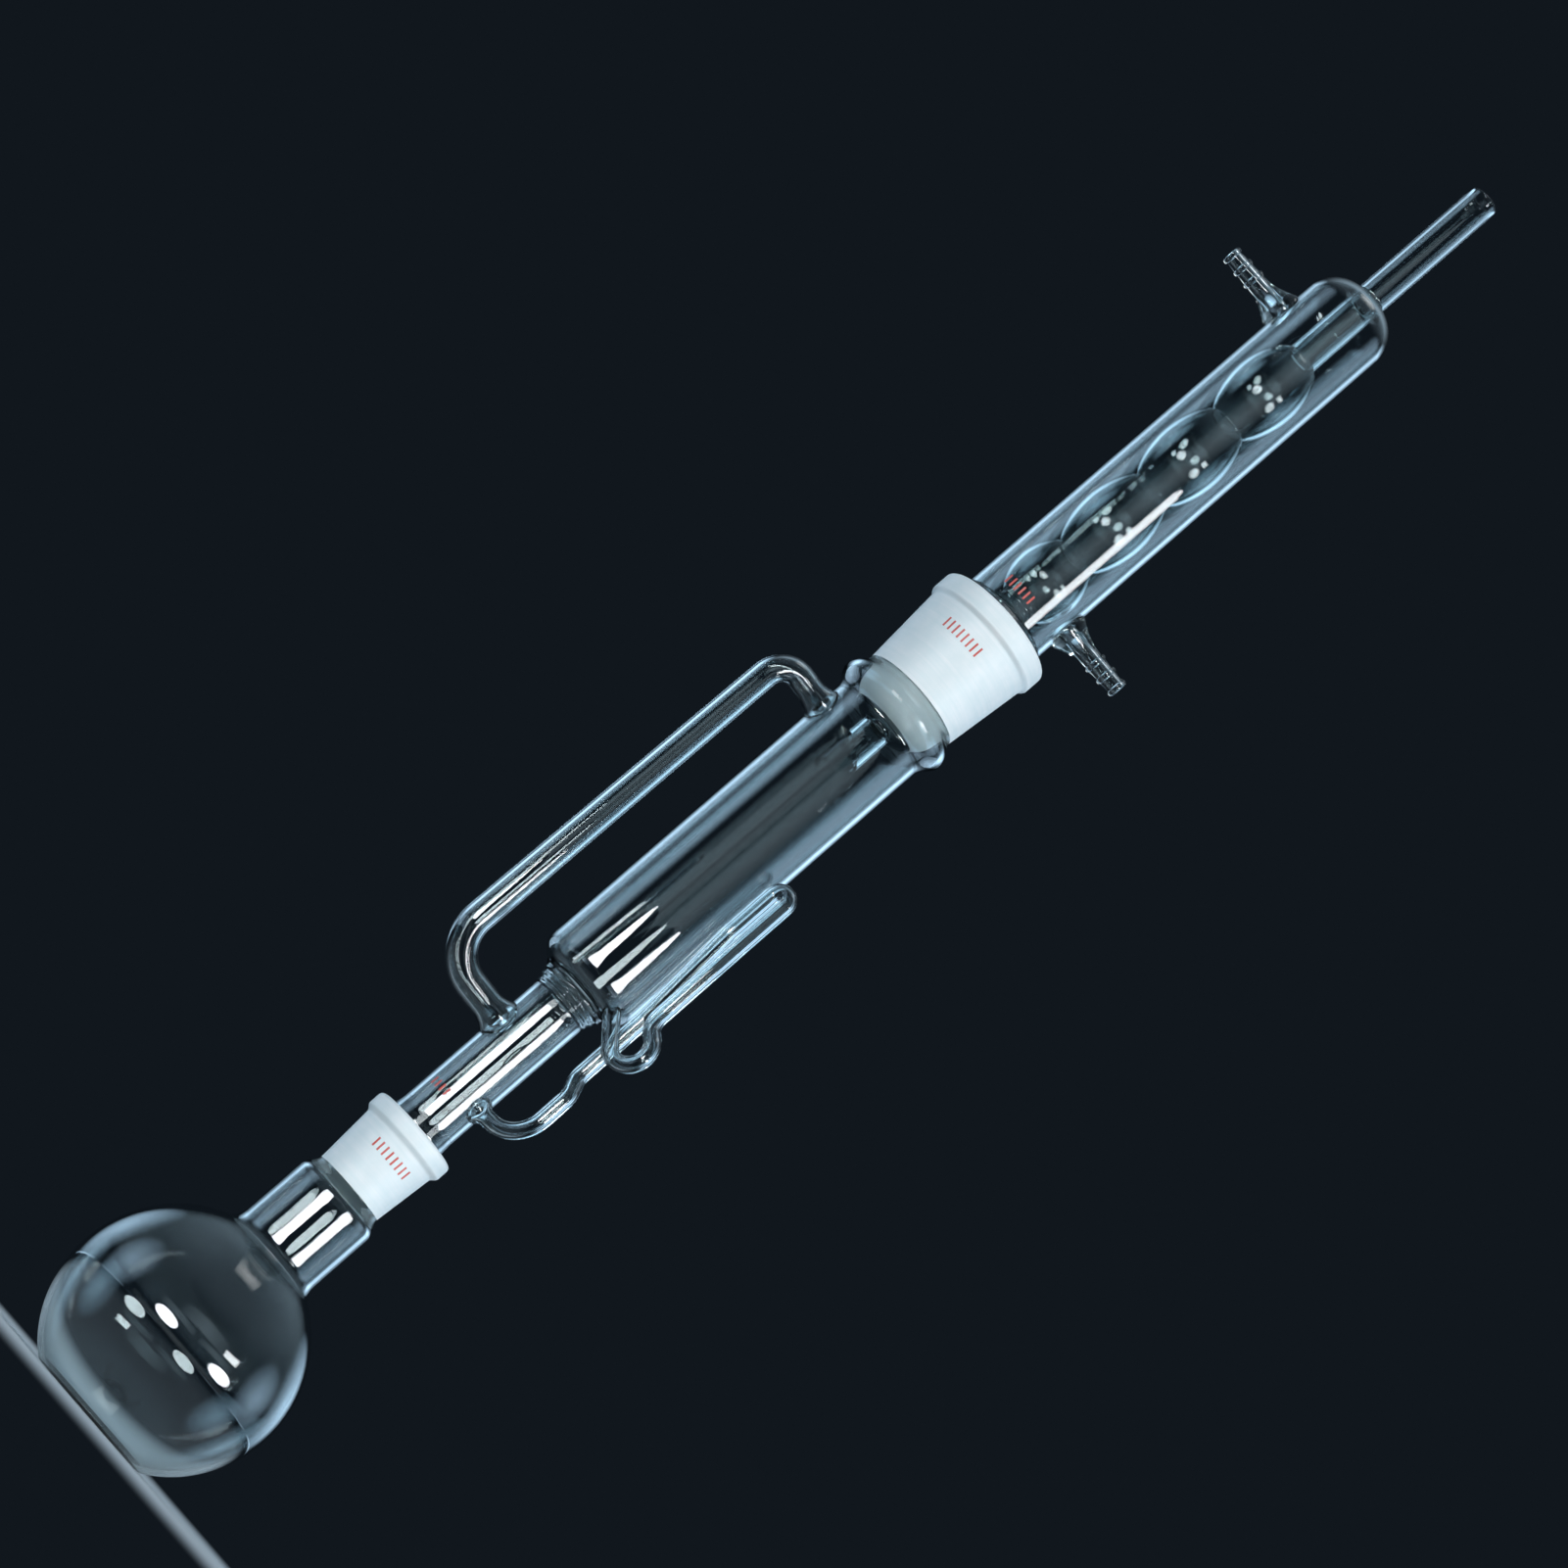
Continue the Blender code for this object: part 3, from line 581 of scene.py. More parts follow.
def groundZone(piece, low, high):
    # the second finish goes on outward faces between two heights
    for face in piece.data.polygons:
        outward = face.normal.x * face.center.x + face.normal.y * face.center.y > 0
        face.material_index = 1 if outward and low < face.center.z < high else 0


def turnExtractorCone():
    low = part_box("extractor_cone")[0].z
    top = belowWeld("extractor_cone", "vapour_tube")
    mouth = lowerJoint["mouthRadius"] - lowerJoint["clearance"]
    foot = footRadius(lowerJoint, "flask_socket") - lowerJoint["clearance"]
    wall = lowerJoint["coneWall"]
    outside = easePoints((mouth, lowerMouth), (vapourTube["radius"], top))
    inside = easePoints((mouth - wall, lowerMouth), (vapourTube["radius"] - vapourTube["wall"], top))
    end = rimPoints(foot, foot - wall, low, -1)
    piece = turnPiece("extractor_cone_glass", joinRuns(end[::-1], outside, inside[::-1]))
    finishPiece(piece, "extractor_cone", "ground_glass", clearFinish, groundFinish)
    groundZone(piece, low, lowerMouth)


def drawVapourTube():
    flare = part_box("vapour_tube")[1].x
    low = aboveWeld("extractor_cone", "vapour_tube")
    top = belowWeld("vapour_tube", "extraction_chamber")
    radius = vapourTube["radius"]
    bore = radius - vapourTube["wall"]
    outside = trumpetPoints((radius, top - vapourTube["flareHeight"]), (flare, top), steps=36)
    outside = ripplePoints(outside, vapourTube["ripple"], vapourTube["ripples"])
    fillet = vapourTube["fillet"]
    inside = trumpetPoints((bore, top - fillet), (bore + fillet, top), steps=8)
    points = joinRuns([(radius, low)], outside, inside[::-1], [(bore, low)])
    piece = turnPiece("vapour_tube_glass", points)
    sidearm = sidearmEnds()
    drillPort(piece, Vector((0, 0, sidearm["low"].z)), sidearm["low"],
              vapourSidearm["lowRadius"] - vapourSidearm["wall"])
    foot = siphonFoot()
    drillPort(piece, Vector((0, 0, foot.z)), foot, siphonTube["radius"] - siphonTube["wall"])
    finishPiece(piece, "vapour_tube", "clear_glass", clearFinish)


def blowChamber():
    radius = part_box("extraction_chamber")[1].x
    floor = aboveWeld("vapour_tube", "extraction_chamber")
    top = belowWeld("extraction_chamber", "chamber_collar")
    corner = chamber["corner"]
    walls = []
    for wall in (0, chamber["wall"]):
        bend = arcPoints((radius - corner, floor + corner), (corner - wall, corner - wall),
                         -math.pi / 2, 0, steps=20)
        walls.append(joinRuns([(0, floor + wall)], bend, [(radius - wall, top)]))
    piece = turnPiece("extraction_chamber_glass", joinRuns(walls[0], walls[1][::-1]))
    sidearm = sidearmEnds()
    drillPort(piece, Vector((0, 0, sidearm["high"].z)), sidearm["high"],
              vapourSidearm["highRadius"] - vapourSidearm["wall"])
    port = siphonPort()
    out = (siphonEntry() - port).normalized() * glasswork["weldInset"]
    drillPort(piece, port - out, port + out, siphonTube["radius"] - siphonTube["wall"])
    finishPiece(piece, "extraction_chamber", "clear_glass", clearFinish)


def blowCollar():
    low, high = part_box("chamber_collar")
    bottom = aboveWeld("extraction_chamber", "chamber_collar")
    top = belowWeld("chamber_collar", "extractor_socket")
    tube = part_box("extraction_chamber")[1].x
    foot = footRadius(upperJoint, "extractor_socket")
    walls = []
    for wall, end in ((0, foot + upperJoint["socketWall"]), (chamber["wall"], foot)):
        peak = (high.x - wall, low.z + chamber["collarPeak"])
        walls.append(joinRuns(easePoints((tube - wall, bottom), peak), easePoints(peak, (end, top))))
    piece = turnPiece("chamber_collar_glass", joinRuns(walls[0], walls[1][::-1]))
    finishPiece(piece, "chamber_collar", "clear_glass", clearFinish)


# Vapour sidearm, bent at both ends and welded to the tube and the chamber
vapourSidearm = {
    "azimuth": math.radians(200),
    "lowRadius": 0.0054,
    "highRadius": 0.0048,
    "wall": 0.0013,
    "reach": 0.042,
    "lean": 0.001,
    "lowBend": 0.016,
    "highBend": 0.0095,
    "lowDrop": 0.026,                 # weld below the chamber's floor
    "highDrop": 0.010,                # weld below the chamber's top
    "flare": 0.0022,
    "flareLength": 0.007,
}


def sidearmEnds():
    # the two corners of the sidearm
    low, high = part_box("extraction_chamber")
    turn = vapourSidearm["azimuth"]
    reach = vapourSidearm["reach"]
    return {"low": radialPoint(turn, reach, low.z - vapourSidearm["lowDrop"]),
            "high": radialPoint(turn, reach - vapourSidearm["lean"], high.z - vapourSidearm["highDrop"])}


def bendSidearm():
    tube = vapourTube["radius"]
    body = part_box("extraction_chamber")[1].x
    ends = sidearmEnds()
    turn = vapourSidearm["azimuth"]
    inset = glasswork["weldInset"]
    lowStart = radialPoint(turn, tube - inset, ends["low"].z)
    highStart = radialPoint(turn, body - inset, ends["high"].z)
    flare = vapourSidearm["flare"]
    length = vapourSidearm["flareLength"]
    lowRadius = vapourSidearm["lowRadius"]
    highRadius = vapourSidearm["highRadius"]
    low = weldCorners(lowStart, ends["low"], lowRadius, flare, length)
    high = weldCorners(highStart, ends["high"], highRadius, flare, length)
    low.append({"at": ends["low"], "bend": vapourSidearm["lowBend"], "radius": lowRadius})
    high.append({"at": ends["high"], "bend": vapourSidearm["highBend"], "radius": highRadius})
    piece = bendTube("vapour_sidearm_glass", low + high[::-1], vapourSidearm["wall"])
    overlap = glasswork["overlap"]
    span = 3 * lowRadius              # past the weld's flare
    trimToDrum(piece, tube - overlap, ends["low"].z - span, ends["low"].z + span)
    trimToDrum(piece, body - overlap, ends["high"].z - span, ends["high"].z + span)
    finishPiece(piece, "vapour_sidearm", "clear_glass", clearFinish)


# Siphon: out of the chamber's corner, round a curl, up, over and down to the vapour tube
siphonTube = {
    "azimuth": math.radians(-36),
    "radius": 0.003,
    "wall": 0.0013,
    "standoff": 0.0004,               # between return leg and chamber
    "legGap": 0.001,
    "height": 0.0722,                 # of the top bend's corners over the chamber's floor
    "portMargin": 0.0006,
    "portFlare": 0.0003,
    "footHeight": 0.0134,             # over the vapour tube's lower weld
    "footBend": 0.0125,
    "flare": 0.002,
    "flareLength": 0.0045,
    "curlRadius": 0.0072,
    "curlDrop": 0.0084,
    "curlOverhang": 0.0098,
    "curlEntry": 0.0101,
    "curlOffset": 0.002,
    "curlClearance": 0.0008,
    "exitSlope": math.radians(30),
    "legStep": 0.0003,
    "jogBend": 0.010,
    "jogStart": 0.050,
    "jogEnd": 0.009,
    "stepBend": 0.005,
    "stepStart": 0.020,
    "stepEnd": 0.0272,
}


def siphonLegs():
    # radii of the return leg, against the chamber, and of the riser outside it
    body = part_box("extraction_chamber")[1].x
    back = body + siphonTube["standoff"] + siphonTube["radius"]
    return back, back + 2 * siphonTube["radius"] + siphonTube["legGap"]


def siphonFoot():
    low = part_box("vapour_tube")[0].z
    return radialPoint(siphonTube["azimuth"], siphonLegs()[1], low + siphonTube["footHeight"])


def siphonPort():
    # on the chamber's rounded corner, clear of the vapour tube's flare
    low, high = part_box("extraction_chamber")
    corner = chamber["corner"]
    cornerRadius = high.x - corner
    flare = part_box("vapour_tube")[1].x
    clear = math.acos((flare + siphonTube["portMargin"] - cornerRadius) / corner)
    angle = clear - math.asin((siphonTube["radius"] + siphonTube["portFlare"]) / corner)
    return radialPoint(siphonTube["azimuth"], cornerRadius + corner * math.cos(angle),
                       low.z + corner - corner * math.sin(angle), -siphonTube["curlOffset"])


def siphonEntry():
    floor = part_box("extraction_chamber")[0].z
    radius = siphonLegs()[1] + siphonTube["curlOverhang"] - siphonTube["curlEntry"]
    height = floor - siphonTube["curlDrop"]
    return radialPoint(siphonTube["azimuth"], radius, height, -siphonTube["curlOffset"])


def siphonRoute():
    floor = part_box("extraction_chamber")[0].z
    back, riser = siphonLegs()
    outer = riser + siphonTube["curlOverhang"]
    curl = siphonTube["curlRadius"]
    slope = siphonTube["exitSlope"]
    lowest = floor - siphonTube["curlDrop"]
    side = lowest + curl * (1 + math.tan(math.pi / 4 - slope / 2))
    leave = side + siphonTube["curlOverhang"] * math.tan(slope)
    top = floor + siphonTube["height"]
    offset = siphonTube["curlOffset"]
    behind = 2 * siphonTube["radius"] + siphonTube["curlClearance"] - offset
    inner = back + siphonTube["legStep"]
    jog = siphonTube["jogBend"]
    step = siphonTube["stepBend"]
    arch = (riser - back) / 2
    # radius, height, sideways offset and bend of each corner
    route = [(outer, lowest, -offset, curl), (outer, side, -offset, curl), (riser, leave, 0, curl),
             (riser, top, 0, arch), (back, top, 0, arch),
             (back, floor + siphonTube["jogStart"], 0, jog),
             (inner, floor + siphonTube["jogEnd"], behind, jog),
             (inner, floor - siphonTube["stepStart"], behind, step),
             (riser, floor - siphonTube["stepEnd"], 0, step),
             (riser, siphonFoot().z, 0, siphonTube["footBend"])]
    return [{"at": radialPoint(siphonTube["azimuth"], radius, height, aside), "bend": bend,
             "radius": siphonTube["radius"]} for radius, height, aside, bend in route]


def bendSiphon():
    port = siphonPort()
    entry = siphonEntry()
    radius = siphonTube["radius"]
    overlap = glasswork["overlap"]
    inset = glasswork["weldInset"]
    start = port + (port - entry).normalized() * inset
    foot = siphonFoot()
    tube = vapourTube["radius"]
    end = radialPoint(siphonTube["azimuth"], tube - inset, foot.z)
    # the curl begins before the port's flare ends
    corners = weldCorners(start, entry, radius, siphonTube["portFlare"], siphonTube["flareLength"])[:-2]
    corners.append({"at": entry, "bend": siphonTube["curlRadius"], "radius": radius})
    corners += siphonRoute()
    corners += weldCorners(end, foot, radius, siphonTube["flare"], siphonTube["flareLength"])[::-1]
    piece = bendTube("siphon_tube_glass", corners, siphonTube["wall"])
    span = 4 * radius                 # past the weld's flare
    trimToDrum(piece, tube - overlap, foot.z - span, foot.z + span)
    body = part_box("extraction_chamber")[1].x
    corner = chamber["corner"]
    floor = aboveWeld("vapour_tube", "extraction_chamber")
    bend = arcPoints((body - corner, floor + corner), (corner - overlap, corner - overlap),
                     -math.pi / 2, 0, steps=20)
    reach = floor + 2 * corner
    outline = joinRuns([(0, floor + overlap)], bend, [(body - overlap, reach), (0, reach)])
    trim = turnPiece("corner_trim", outline)
    cutAway(piece, trim)
    dropCutter(trim)
    finishPiece(piece, "siphon_tube", "clear_glass", clearFinish)


turnExtractorCone()
drawVapourTube()
blowChamber()
blowCollar()
turnSocket(upperJoint, "chamber_collar", "extractor_socket")
bendSidearm()
bendSiphon()
print("extractor blown, with its sidearm and siphon")


# Condenser: cone with a drip tip, water jacket and the bulbs inside it
condenserCone = {
    "rounding": 0.016,                # height of the rounded lower end
    "groundBelow": 0.013,             # the grit runs this far onto the rounded end
}
dripTip = {
    "wall": 0.0014,
    "slant": math.radians(32),
}
jacket = {
    "wall": 0.0016,
    "domeHeight": 0.0125,
    "fillet": 0.0022,                 # glass drawn up round the vent tube
}
bulbTube = {
    "wall": 0.0013,
    "foot": 0.0065,
    "footGap": 0.0005,
    "bulbs": 4,
    "neckRadius": 0.00775,
    "waterGap": 0.0031,
    "pitch": 0.0368,
    "lowestLength": 0.027,
    "steps": 30,
    "fullness": 0.65,                 # 1 is a sine, less is rounder
}
ventTube = {
    "wall": 0.0013,
}
hoseConnector = {
    "radius": 0.0036,
    "tipRadius": 0.0030,
    "rootRadius": 0.00775,
    "rootLength": 0.012,
    "bead": 0.0007,
    "beadLength": 0.0011,
    "ridgePitch": 0.0055,
    "ridges": 2,
    "tip": 0.0068,
    "bore": 0.0022,
    "sides": 96,
}


def turnCondenserCone():
    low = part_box("condenser_cone")[0].z
    top = belowWeld("condenser_cone", "condenser_jacket")
    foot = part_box("extractor_socket")[0].z
    mouth = upperJoint["mouthRadius"] - upperJoint["clearance"]
    footOut = footRadius(upperJoint, "extractor_socket") - upperJoint["clearance"]
    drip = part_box("drip_tip")[1].x
    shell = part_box("condenser_jacket")[1].x
    innerTop = shell - jacket["wall"] - bulbTube["footGap"] - bulbTube["wall"]
    walls = []
    for wall, end, head in ((0, drip, shell), (upperJoint["coneWall"], drip - dripTip["wall"], innerTop)):
        rounding = arcPoints((end, foot), (footOut - wall - end, condenserCone["rounding"] - wall),
                             -math.pi / 2, 0, steps=28)
        shoulder = easePoints((mouth - wall, upperMouth - wall), (head, top))
        walls.append(joinRuns([(end, low)], rounding, shoulder))
    piece = turnPiece("condenser_cone_glass", joinRuns(walls[0], walls[1][::-1]))
    finishPiece(piece, "condenser_cone", "ground_glass", clearFinish, groundFinish)
    groundZone(piece, foot - condenserCone["groundBelow"], upperMouth)


def cutDripTip():
    low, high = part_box("drip_tip")
    radius = high.x
    top = belowWeld("drip_tip", "condenser_cone")
    inner = radius - dripTip["wall"]
    piece = turnPiece("drip_tip_glass", [(radius, top), (radius, low.z), (inner, low.z), (inner, top)])
    takeUp(piece)
    bpy.ops.object.mode_set(mode="EDIT")
    bpy.ops.mesh.select_all(action="SELECT")
    slope = Vector((-math.sin(dripTip["slant"]), 0, -math.cos(dripTip["slant"])))
    bpy.ops.mesh.bisect(plane_co=(radius, 0, low.z), plane_no=slope, use_fill=False, clear_outer=True)
    bpy.ops.mesh.select_all(action="DESELECT")
    bpy.ops.mesh.select_mode(type="EDGE")
    bpy.ops.mesh.select_non_manifold()
    bpy.ops.mesh.bridge_edge_loops()
    bpy.ops.mesh.select_mode(type="VERT")
    closeShell()
    finishPiece(piece, "drip_tip", "clear_glass", clearFinish)


def blowJacket():
    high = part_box("condenser_jacket")[1]
    radius = high.x
    bottom = aboveWeld("condenser_cone", "condenser_jacket")
    dome = high.z - jacket["domeHeight"]
    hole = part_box("vent_tube")[1].x - glasswork["overlap"]
    fillet = jacket["fillet"]
    walls = []
    for wall in (0, jacket["wall"]):
        cap = arcPoints((hole, dome), (radius - wall - hole, jacket["domeHeight"] - wall),
                        0, math.pi / 2, steps=32)
        walls.append(joinRuns([(radius - wall, bottom)], cap))
    capEnd = [point for point in walls[0] if point[0] > hole + fillet]
    seat = capEnd[-1]
    neckEnd = trumpetPoints((hole, high.z + fillet), seat, steps=10)[::-1]
    piece = turnPiece("condenser_jacket_glass", joinRuns(capEnd, neckEnd, walls[1][::-1]))
    for node, side in (("water_inlet", 1), ("water_outlet", -1)):
        centre = hoseCentre(node)
        drillPort(piece, centre, centre + Vector((side * 2 * radius, 0, 0)), hoseConnector["bore"])
    finishPiece(piece, "condenser_jacket", "clear_glass", clearFinish)


def blowBulbTube():
    bottom = aboveWeld("condenser_cone", "bulb_tube")
    top = belowWeld("bulb_tube", "vent_tube")
    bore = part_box("condenser_jacket")[1].x - jacket["wall"]
    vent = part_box("vent_tube")[1].x
    neck = bulbTube["neckRadius"]
    belly = bore - bulbTube["waterGap"]
    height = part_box("bulb_tube")[0].z + bulbTube["foot"]
    outside = trumpetPoints((neck, height), (bore - bulbTube["footGap"], bottom))[::-1]
    for n in range(bulbTube["bulbs"]):
        length = bulbTube["pitch"] if n else bulbTube["lowestLength"]
        end = vent if n == bulbTube["bulbs"] - 1 else neck
        for i in range(1, bulbTube["steps"] + 1):
            share = i / bulbTube["steps"]
            waist = neck + (end - neck) * share
            swell = max(math.sin(math.pi * share), 0) ** bulbTube["fullness"]
            outside.append((waist + (belly - waist) * swell, height + length * share))
        height += length
    outside.append((vent, top))
    points = joinRuns(outside, insetPoints(outside, bulbTube["wall"])[::-1])
    finishPiece(turnPiece("bulb_tube_glass", points), "bulb_tube", "clear_glass", clearFinish)


def drawVentTube():
    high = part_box("vent_tube")[1]
    bottom = aboveWeld("bulb_tube", "vent_tube")
    inner = high.x - ventTube["wall"]
    points = joinRuns([(inner, bottom), (high.x, bottom)], rimPoints(high.x, inner, high.z))
    finishPiece(turnPiece("vent_tube_glass", points), "vent_tube", "clear_glass", clearFinish)


def hoseCentre(node):
    low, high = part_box(node)
    return Vector((0, 0, (low.z + high.z) / 2))


def drawHoseConnector(node, side):
    # turned about its own axis, which runs out along X, and trimmed to the jacket
    low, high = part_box(node)
    tip = high.x if side > 0 else -low.x
    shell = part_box("condenser_jacket")[1].x
    centre = hoseCentre(node)
    bead = hoseConnector["bead"]
    half = hoseConnector["beadLength"]
    root = hoseConnector["rootRadius"]
    bore = hoseConnector["bore"]
    inner = shell - glasswork["weldInset"]
    foot = shell + hoseConnector["rootLength"]
    slope = (hoseConnector["radius"] - hoseConnector["tipRadius"]) / (tip - foot)
    outside = trumpetPoints((hoseConnector["radius"], foot), (root, shell))[::-1]
    first = tip - hoseConnector["tip"]
    peaks = [first - n * hoseConnector["ridgePitch"] for n in range(hoseConnector["ridges"])]
    for peak in peaks[::-1] + [tip - half]:
        waist = hoseConnector["tipRadius"] + slope * (tip - peak)
        outside += arcPoints((waist, peak), (bead, half), -math.pi / 2, math.pi / 2, steps=16)
    lip = rimPoints(hoseConnector["tipRadius"], bore, tip)[6:]    # the bead takes the outer half
    points = joinRuns([(root, inner)], outside, lip, [(bore, inner), (root, inner)])
    piece = startPiece(node + "_glass")
    drawOutline([centre + Vector((side * along, 0, away)) for away, along in finePoints(points)])
    bpy.ops.mesh.select_all(action="SELECT")
    bpy.ops.mesh.spin(steps=hoseConnector["sides"], angle=math.tau, center=centre, axis=(1, 0, 0))
    closeShell()
    span = 2 * root                   # past the flared root
    trimToDrum(piece, shell - glasswork["overlap"], centre.z - span, centre.z + span)
    finishPiece(piece, node, "clear_glass", clearFinish)


turnCondenserCone()
cutDripTip()
blowJacket()
blowBulbTube()
drawVentTube()
drawHoseConnector("water_inlet", 1)
drawHoseConnector("water_outlet", -1)
print("condenser blown, with its bulbs and hose connectors")


# Printed marks: rows of plain red strokes on the sockets, the tube and the jacket
printedMarks = {
    "proud": 0.00004,
    "thickness": 0.00002,
    "facing": math.radians(-90),      # the side that the strokes are on
    "stroke": 0.0007,
    "strokeSteps": 8,
    "gap": 0.0015,
    "rows": [
        {"name": "lower_socket_print", "node": "flask_socket", "height": 0.1246,
         "turn": math.radians(-24), "tall": 0.0036, "strokes": 8},
        {"name": "lower_tube_print", "node": "vapour_tube", "height": 0.1530,
         "turn": math.radians(-50), "tall": 0.0030, "strokes": 4},
        {"name": "upper_socket_print", "node": "extractor_socket", "height": 0.3835,
         "turn": math.radians(-34), "tall": 0.0040, "strokes": 8},
        {"name": "jacket_print", "node": "condenser_jacket", "height": 0.4108,
         "turn": math.radians(-32), "tall": 0.0036, "strokes": 6},
    ],
}


def surfaceRadius(node, height):
    low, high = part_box(node)
    if node == "vapour_tube":
        return vapourTube["radius"]
    if node == "condenser_jacket":
        return high.x
    joint = lowerJoint if node == "flask_socket" else upperJoint
    foot = footRadius(joint, node) + joint["socketWall"]
    share = (height - low.z) / (high.z - low.z - joint["rimHeight"])
    return foot + (bodyRadius(joint) - foot) * share


def printRow(row):
    piece = startPiece(row["name"])
    bpy.ops.mesh.delete(type="VERT")
    turn = printedMarks["facing"] + row["turn"]
    low = row["height"]
    high = low + row["tall"]
    width = printedMarks["stroke"]
    lowRadius = surfaceRadius(row["node"], low) + printedMarks["proud"]
    highRadius = surfaceRadius(row["node"], high) + printedMarks["proud"]
    for n in range(row["strokes"]):
        bpy.ops.mesh.select_all(action="DESELECT")
        bpy.ops.mesh.primitive_plane_add(size=glasswork["seedSize"])
        bpy.ops.mesh.merge(type="CENTER")
        drawOutline([radialPoint(turn, lowRadius, low), radialPoint(turn, highRadius, high)])
        bpy.ops.mesh.select_linked()
        bpy.ops.mesh.spin(steps=printedMarks["strokeSteps"], angle=-width / lowRadius,
                          center=(0, 0, 0), axis=(0, 0, 1))
        turn += (width + printedMarks["gap"]) / lowRadius
    closeShell()
    bpy.ops.object.modifier_add(type="SOLIDIFY")
    piece.modifiers[-1].thickness = printedMarks["thickness"]
    bpy.ops.object.modifier_apply(modifier=piece.modifiers[-1].name)
    piece.data.materials.append(inkFinish)
    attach(piece, frame["nodes"][row["node"]]["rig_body"])


for row in printedMarks["rows"]:
    printRow(row)
print("plain strokes printed in", len(printedMarks["rows"]), "places")


# Studio: a pale floor with a painted pool of light, painted darker away from the glass until it meets the
# dark backdrop, a sky that lightens overhead, and soft boxes all round. Upright glass seen from above
# mirrors what lies below the horizon, so two sets of panels hang there. They show in reflections only: not
# through the glass, and not as light on matt surfaces.
studio = {
    "floorRadius": 0.6,
    "floorSides": 96,
    "floorRoughness": 0.9,
    "floorColour": "#DEE3E5",
    "floorPatch": "#D5DBDE",
    "patchSize": 0.3,
    "paintedPoolTo": 0.05,                   # painted pool of light: the floor is pale as far as this from the glass, then painted darker out to the next distance
    "paintedDarkFrom": 0.42,
    "backdrop": "#11171D",
    "overhead": "#8496A4",
    "overheadFrom": 0.45,             # heights on the unit sky between which it lightens
    "overheadTo": 0.9,
    "usual": {"distance": 4.0, "spread": 60, "shape": "RECTANGLE", "through": True, "sheds": True},
    "ceiling": {"name": "ceilingBox", "height": 2.2, "size": 0.7, "glow": 2.5, "spread": 36,
                "colour": "#FFFFFF", "shape": "SQUARE"},
    "aim": 0.3,
    "boxes": [                        # each differs from the usual box in what it says
        {"name": "lowBox", "turns": (-20, 48), "low": 0.25, "high": 1.63, "width": 3.8, "glow": 22.0,
         "colour": "#F6FAFF", "distance": 8.0, "spread": 90, "shape": "ELLIPSE"},
        {"name": "highBox", "turns": (47,), "low": 1.45, "high": 1.85, "width": 1.2, "glow": 14.0,
         "colour": "#F6FAFF", "spread": 90},
        {"name": "lowVeil", "turns": (-14, 34), "low": 0.94, "high": 1.30, "width": 3.0, "glow": 1.1,
         "colour": "#C4DBE8"},
        {"name": "highVeil", "turns": (12,), "low": 1.50, "high": 2.40, "width": 4.4, "glow": 1.3,
         "colour": "#C4DBE8"},
        {"name": "skirting", "turns": (6,), "low": -0.35, "high": 0.06, "width": 12.0, "glow": 0.3,
         "colour": "#DEE8EE", "spread": 160},
        {"name": "sidePanel", "turns": (-84, 94), "low": -0.90, "high": 3.30, "width": 3.2, "glow": 3.8,
         "colour": "#B0D0EA", "spread": 46},
        {"name": "rearPanel", "turns": (-132, 138), "low": -0.90, "high": 3.30, "width": 3.0, "glow": 2.6,
         "colour": "#B0D0EA", "spread": 46},
        {"name": "underPanel", "turns": (-84, 94, -132, 138), "low": -2.40, "high": -0.10, "width": 3.0,
         "glow": 6.0, "colour": "#B0D0EA", "through": False, "sheds": False},
        {"name": "frontPanel", "turns": (-42, 52), "low": -2.40, "high": -0.10, "width": 3.0,
         "glow": 3.5, "colour": "#B0D0EA", "through": False, "sheds": False},
    ],
}


def layFloor():
    bpy.ops.object.select_all(action="DESELECT")
    bpy.ops.mesh.primitive_circle_add(vertices=studio["floorSides"], radius=studio["floorRadius"],
                                      fill_type="NGON")
    floor = bpy.context.object
    floor.name = "floor"
    material, tree = newMaterial("paleFloorPaintedPool")
    place = addNode(tree, "ShaderNodeTexCoord", {}).outputs["Object"]
    patch = addNode(tree, "ShaderNodeTexNoise", {"Scale": 1 / studio["patchSize"]}, [(place, "Vector")])
    tone = addNode(tree, "ShaderNodeMix", {"data_type": "RGBA"}, [(patch.outputs["Fac"], "Factor")])
    tone.inputs[6].default_value = srgb(studio["floorColour"])
    tone.inputs[7].default_value = srgb(studio["floorPatch"])
    # painted pool of light: further from the glass the floor's colour is mixed into an emission of the
    # backdrop's colour, a painted falloff of the light
    away = addNode(tree, "ShaderNodeVectorMath", {"operation": "LENGTH"}, [(place, "Vector")])
    paintedFalloff = addNode(tree, "ShaderNodeMapRange",
                   {"interpolation_type": "SMOOTHSTEP", "From Min": studio["paintedPoolTo"],
                    "From Max": studio["paintedDarkFrom"]},
                   [(away.outputs["Value"], "Value")])
    matt = addNode(tree, "ShaderNodeBsdfPrincipled",
                   {"Roughness": studio["floorRoughness"], "Specular IOR Level": 0.0},
                   [(tone.outputs[2], "Base Color")])
    # painted shade: the emission that the floor turns into outside the painted pool of light
    dark = addNode(tree, "ShaderNodeEmission", {"Color": srgb(studio["backdrop"])})
    edge = addNode(tree, "ShaderNodeMixShader", {},
                   [(paintedFalloff.outputs["Result"], 0), (matt.outputs["BSDF"], 1), (dark.outputs["Emission"], 2)])
    addNode(tree, "ShaderNodeOutputMaterial", {}, [(edge.outputs["Shader"], "Surface")])
    floor.data.materials.append(material)


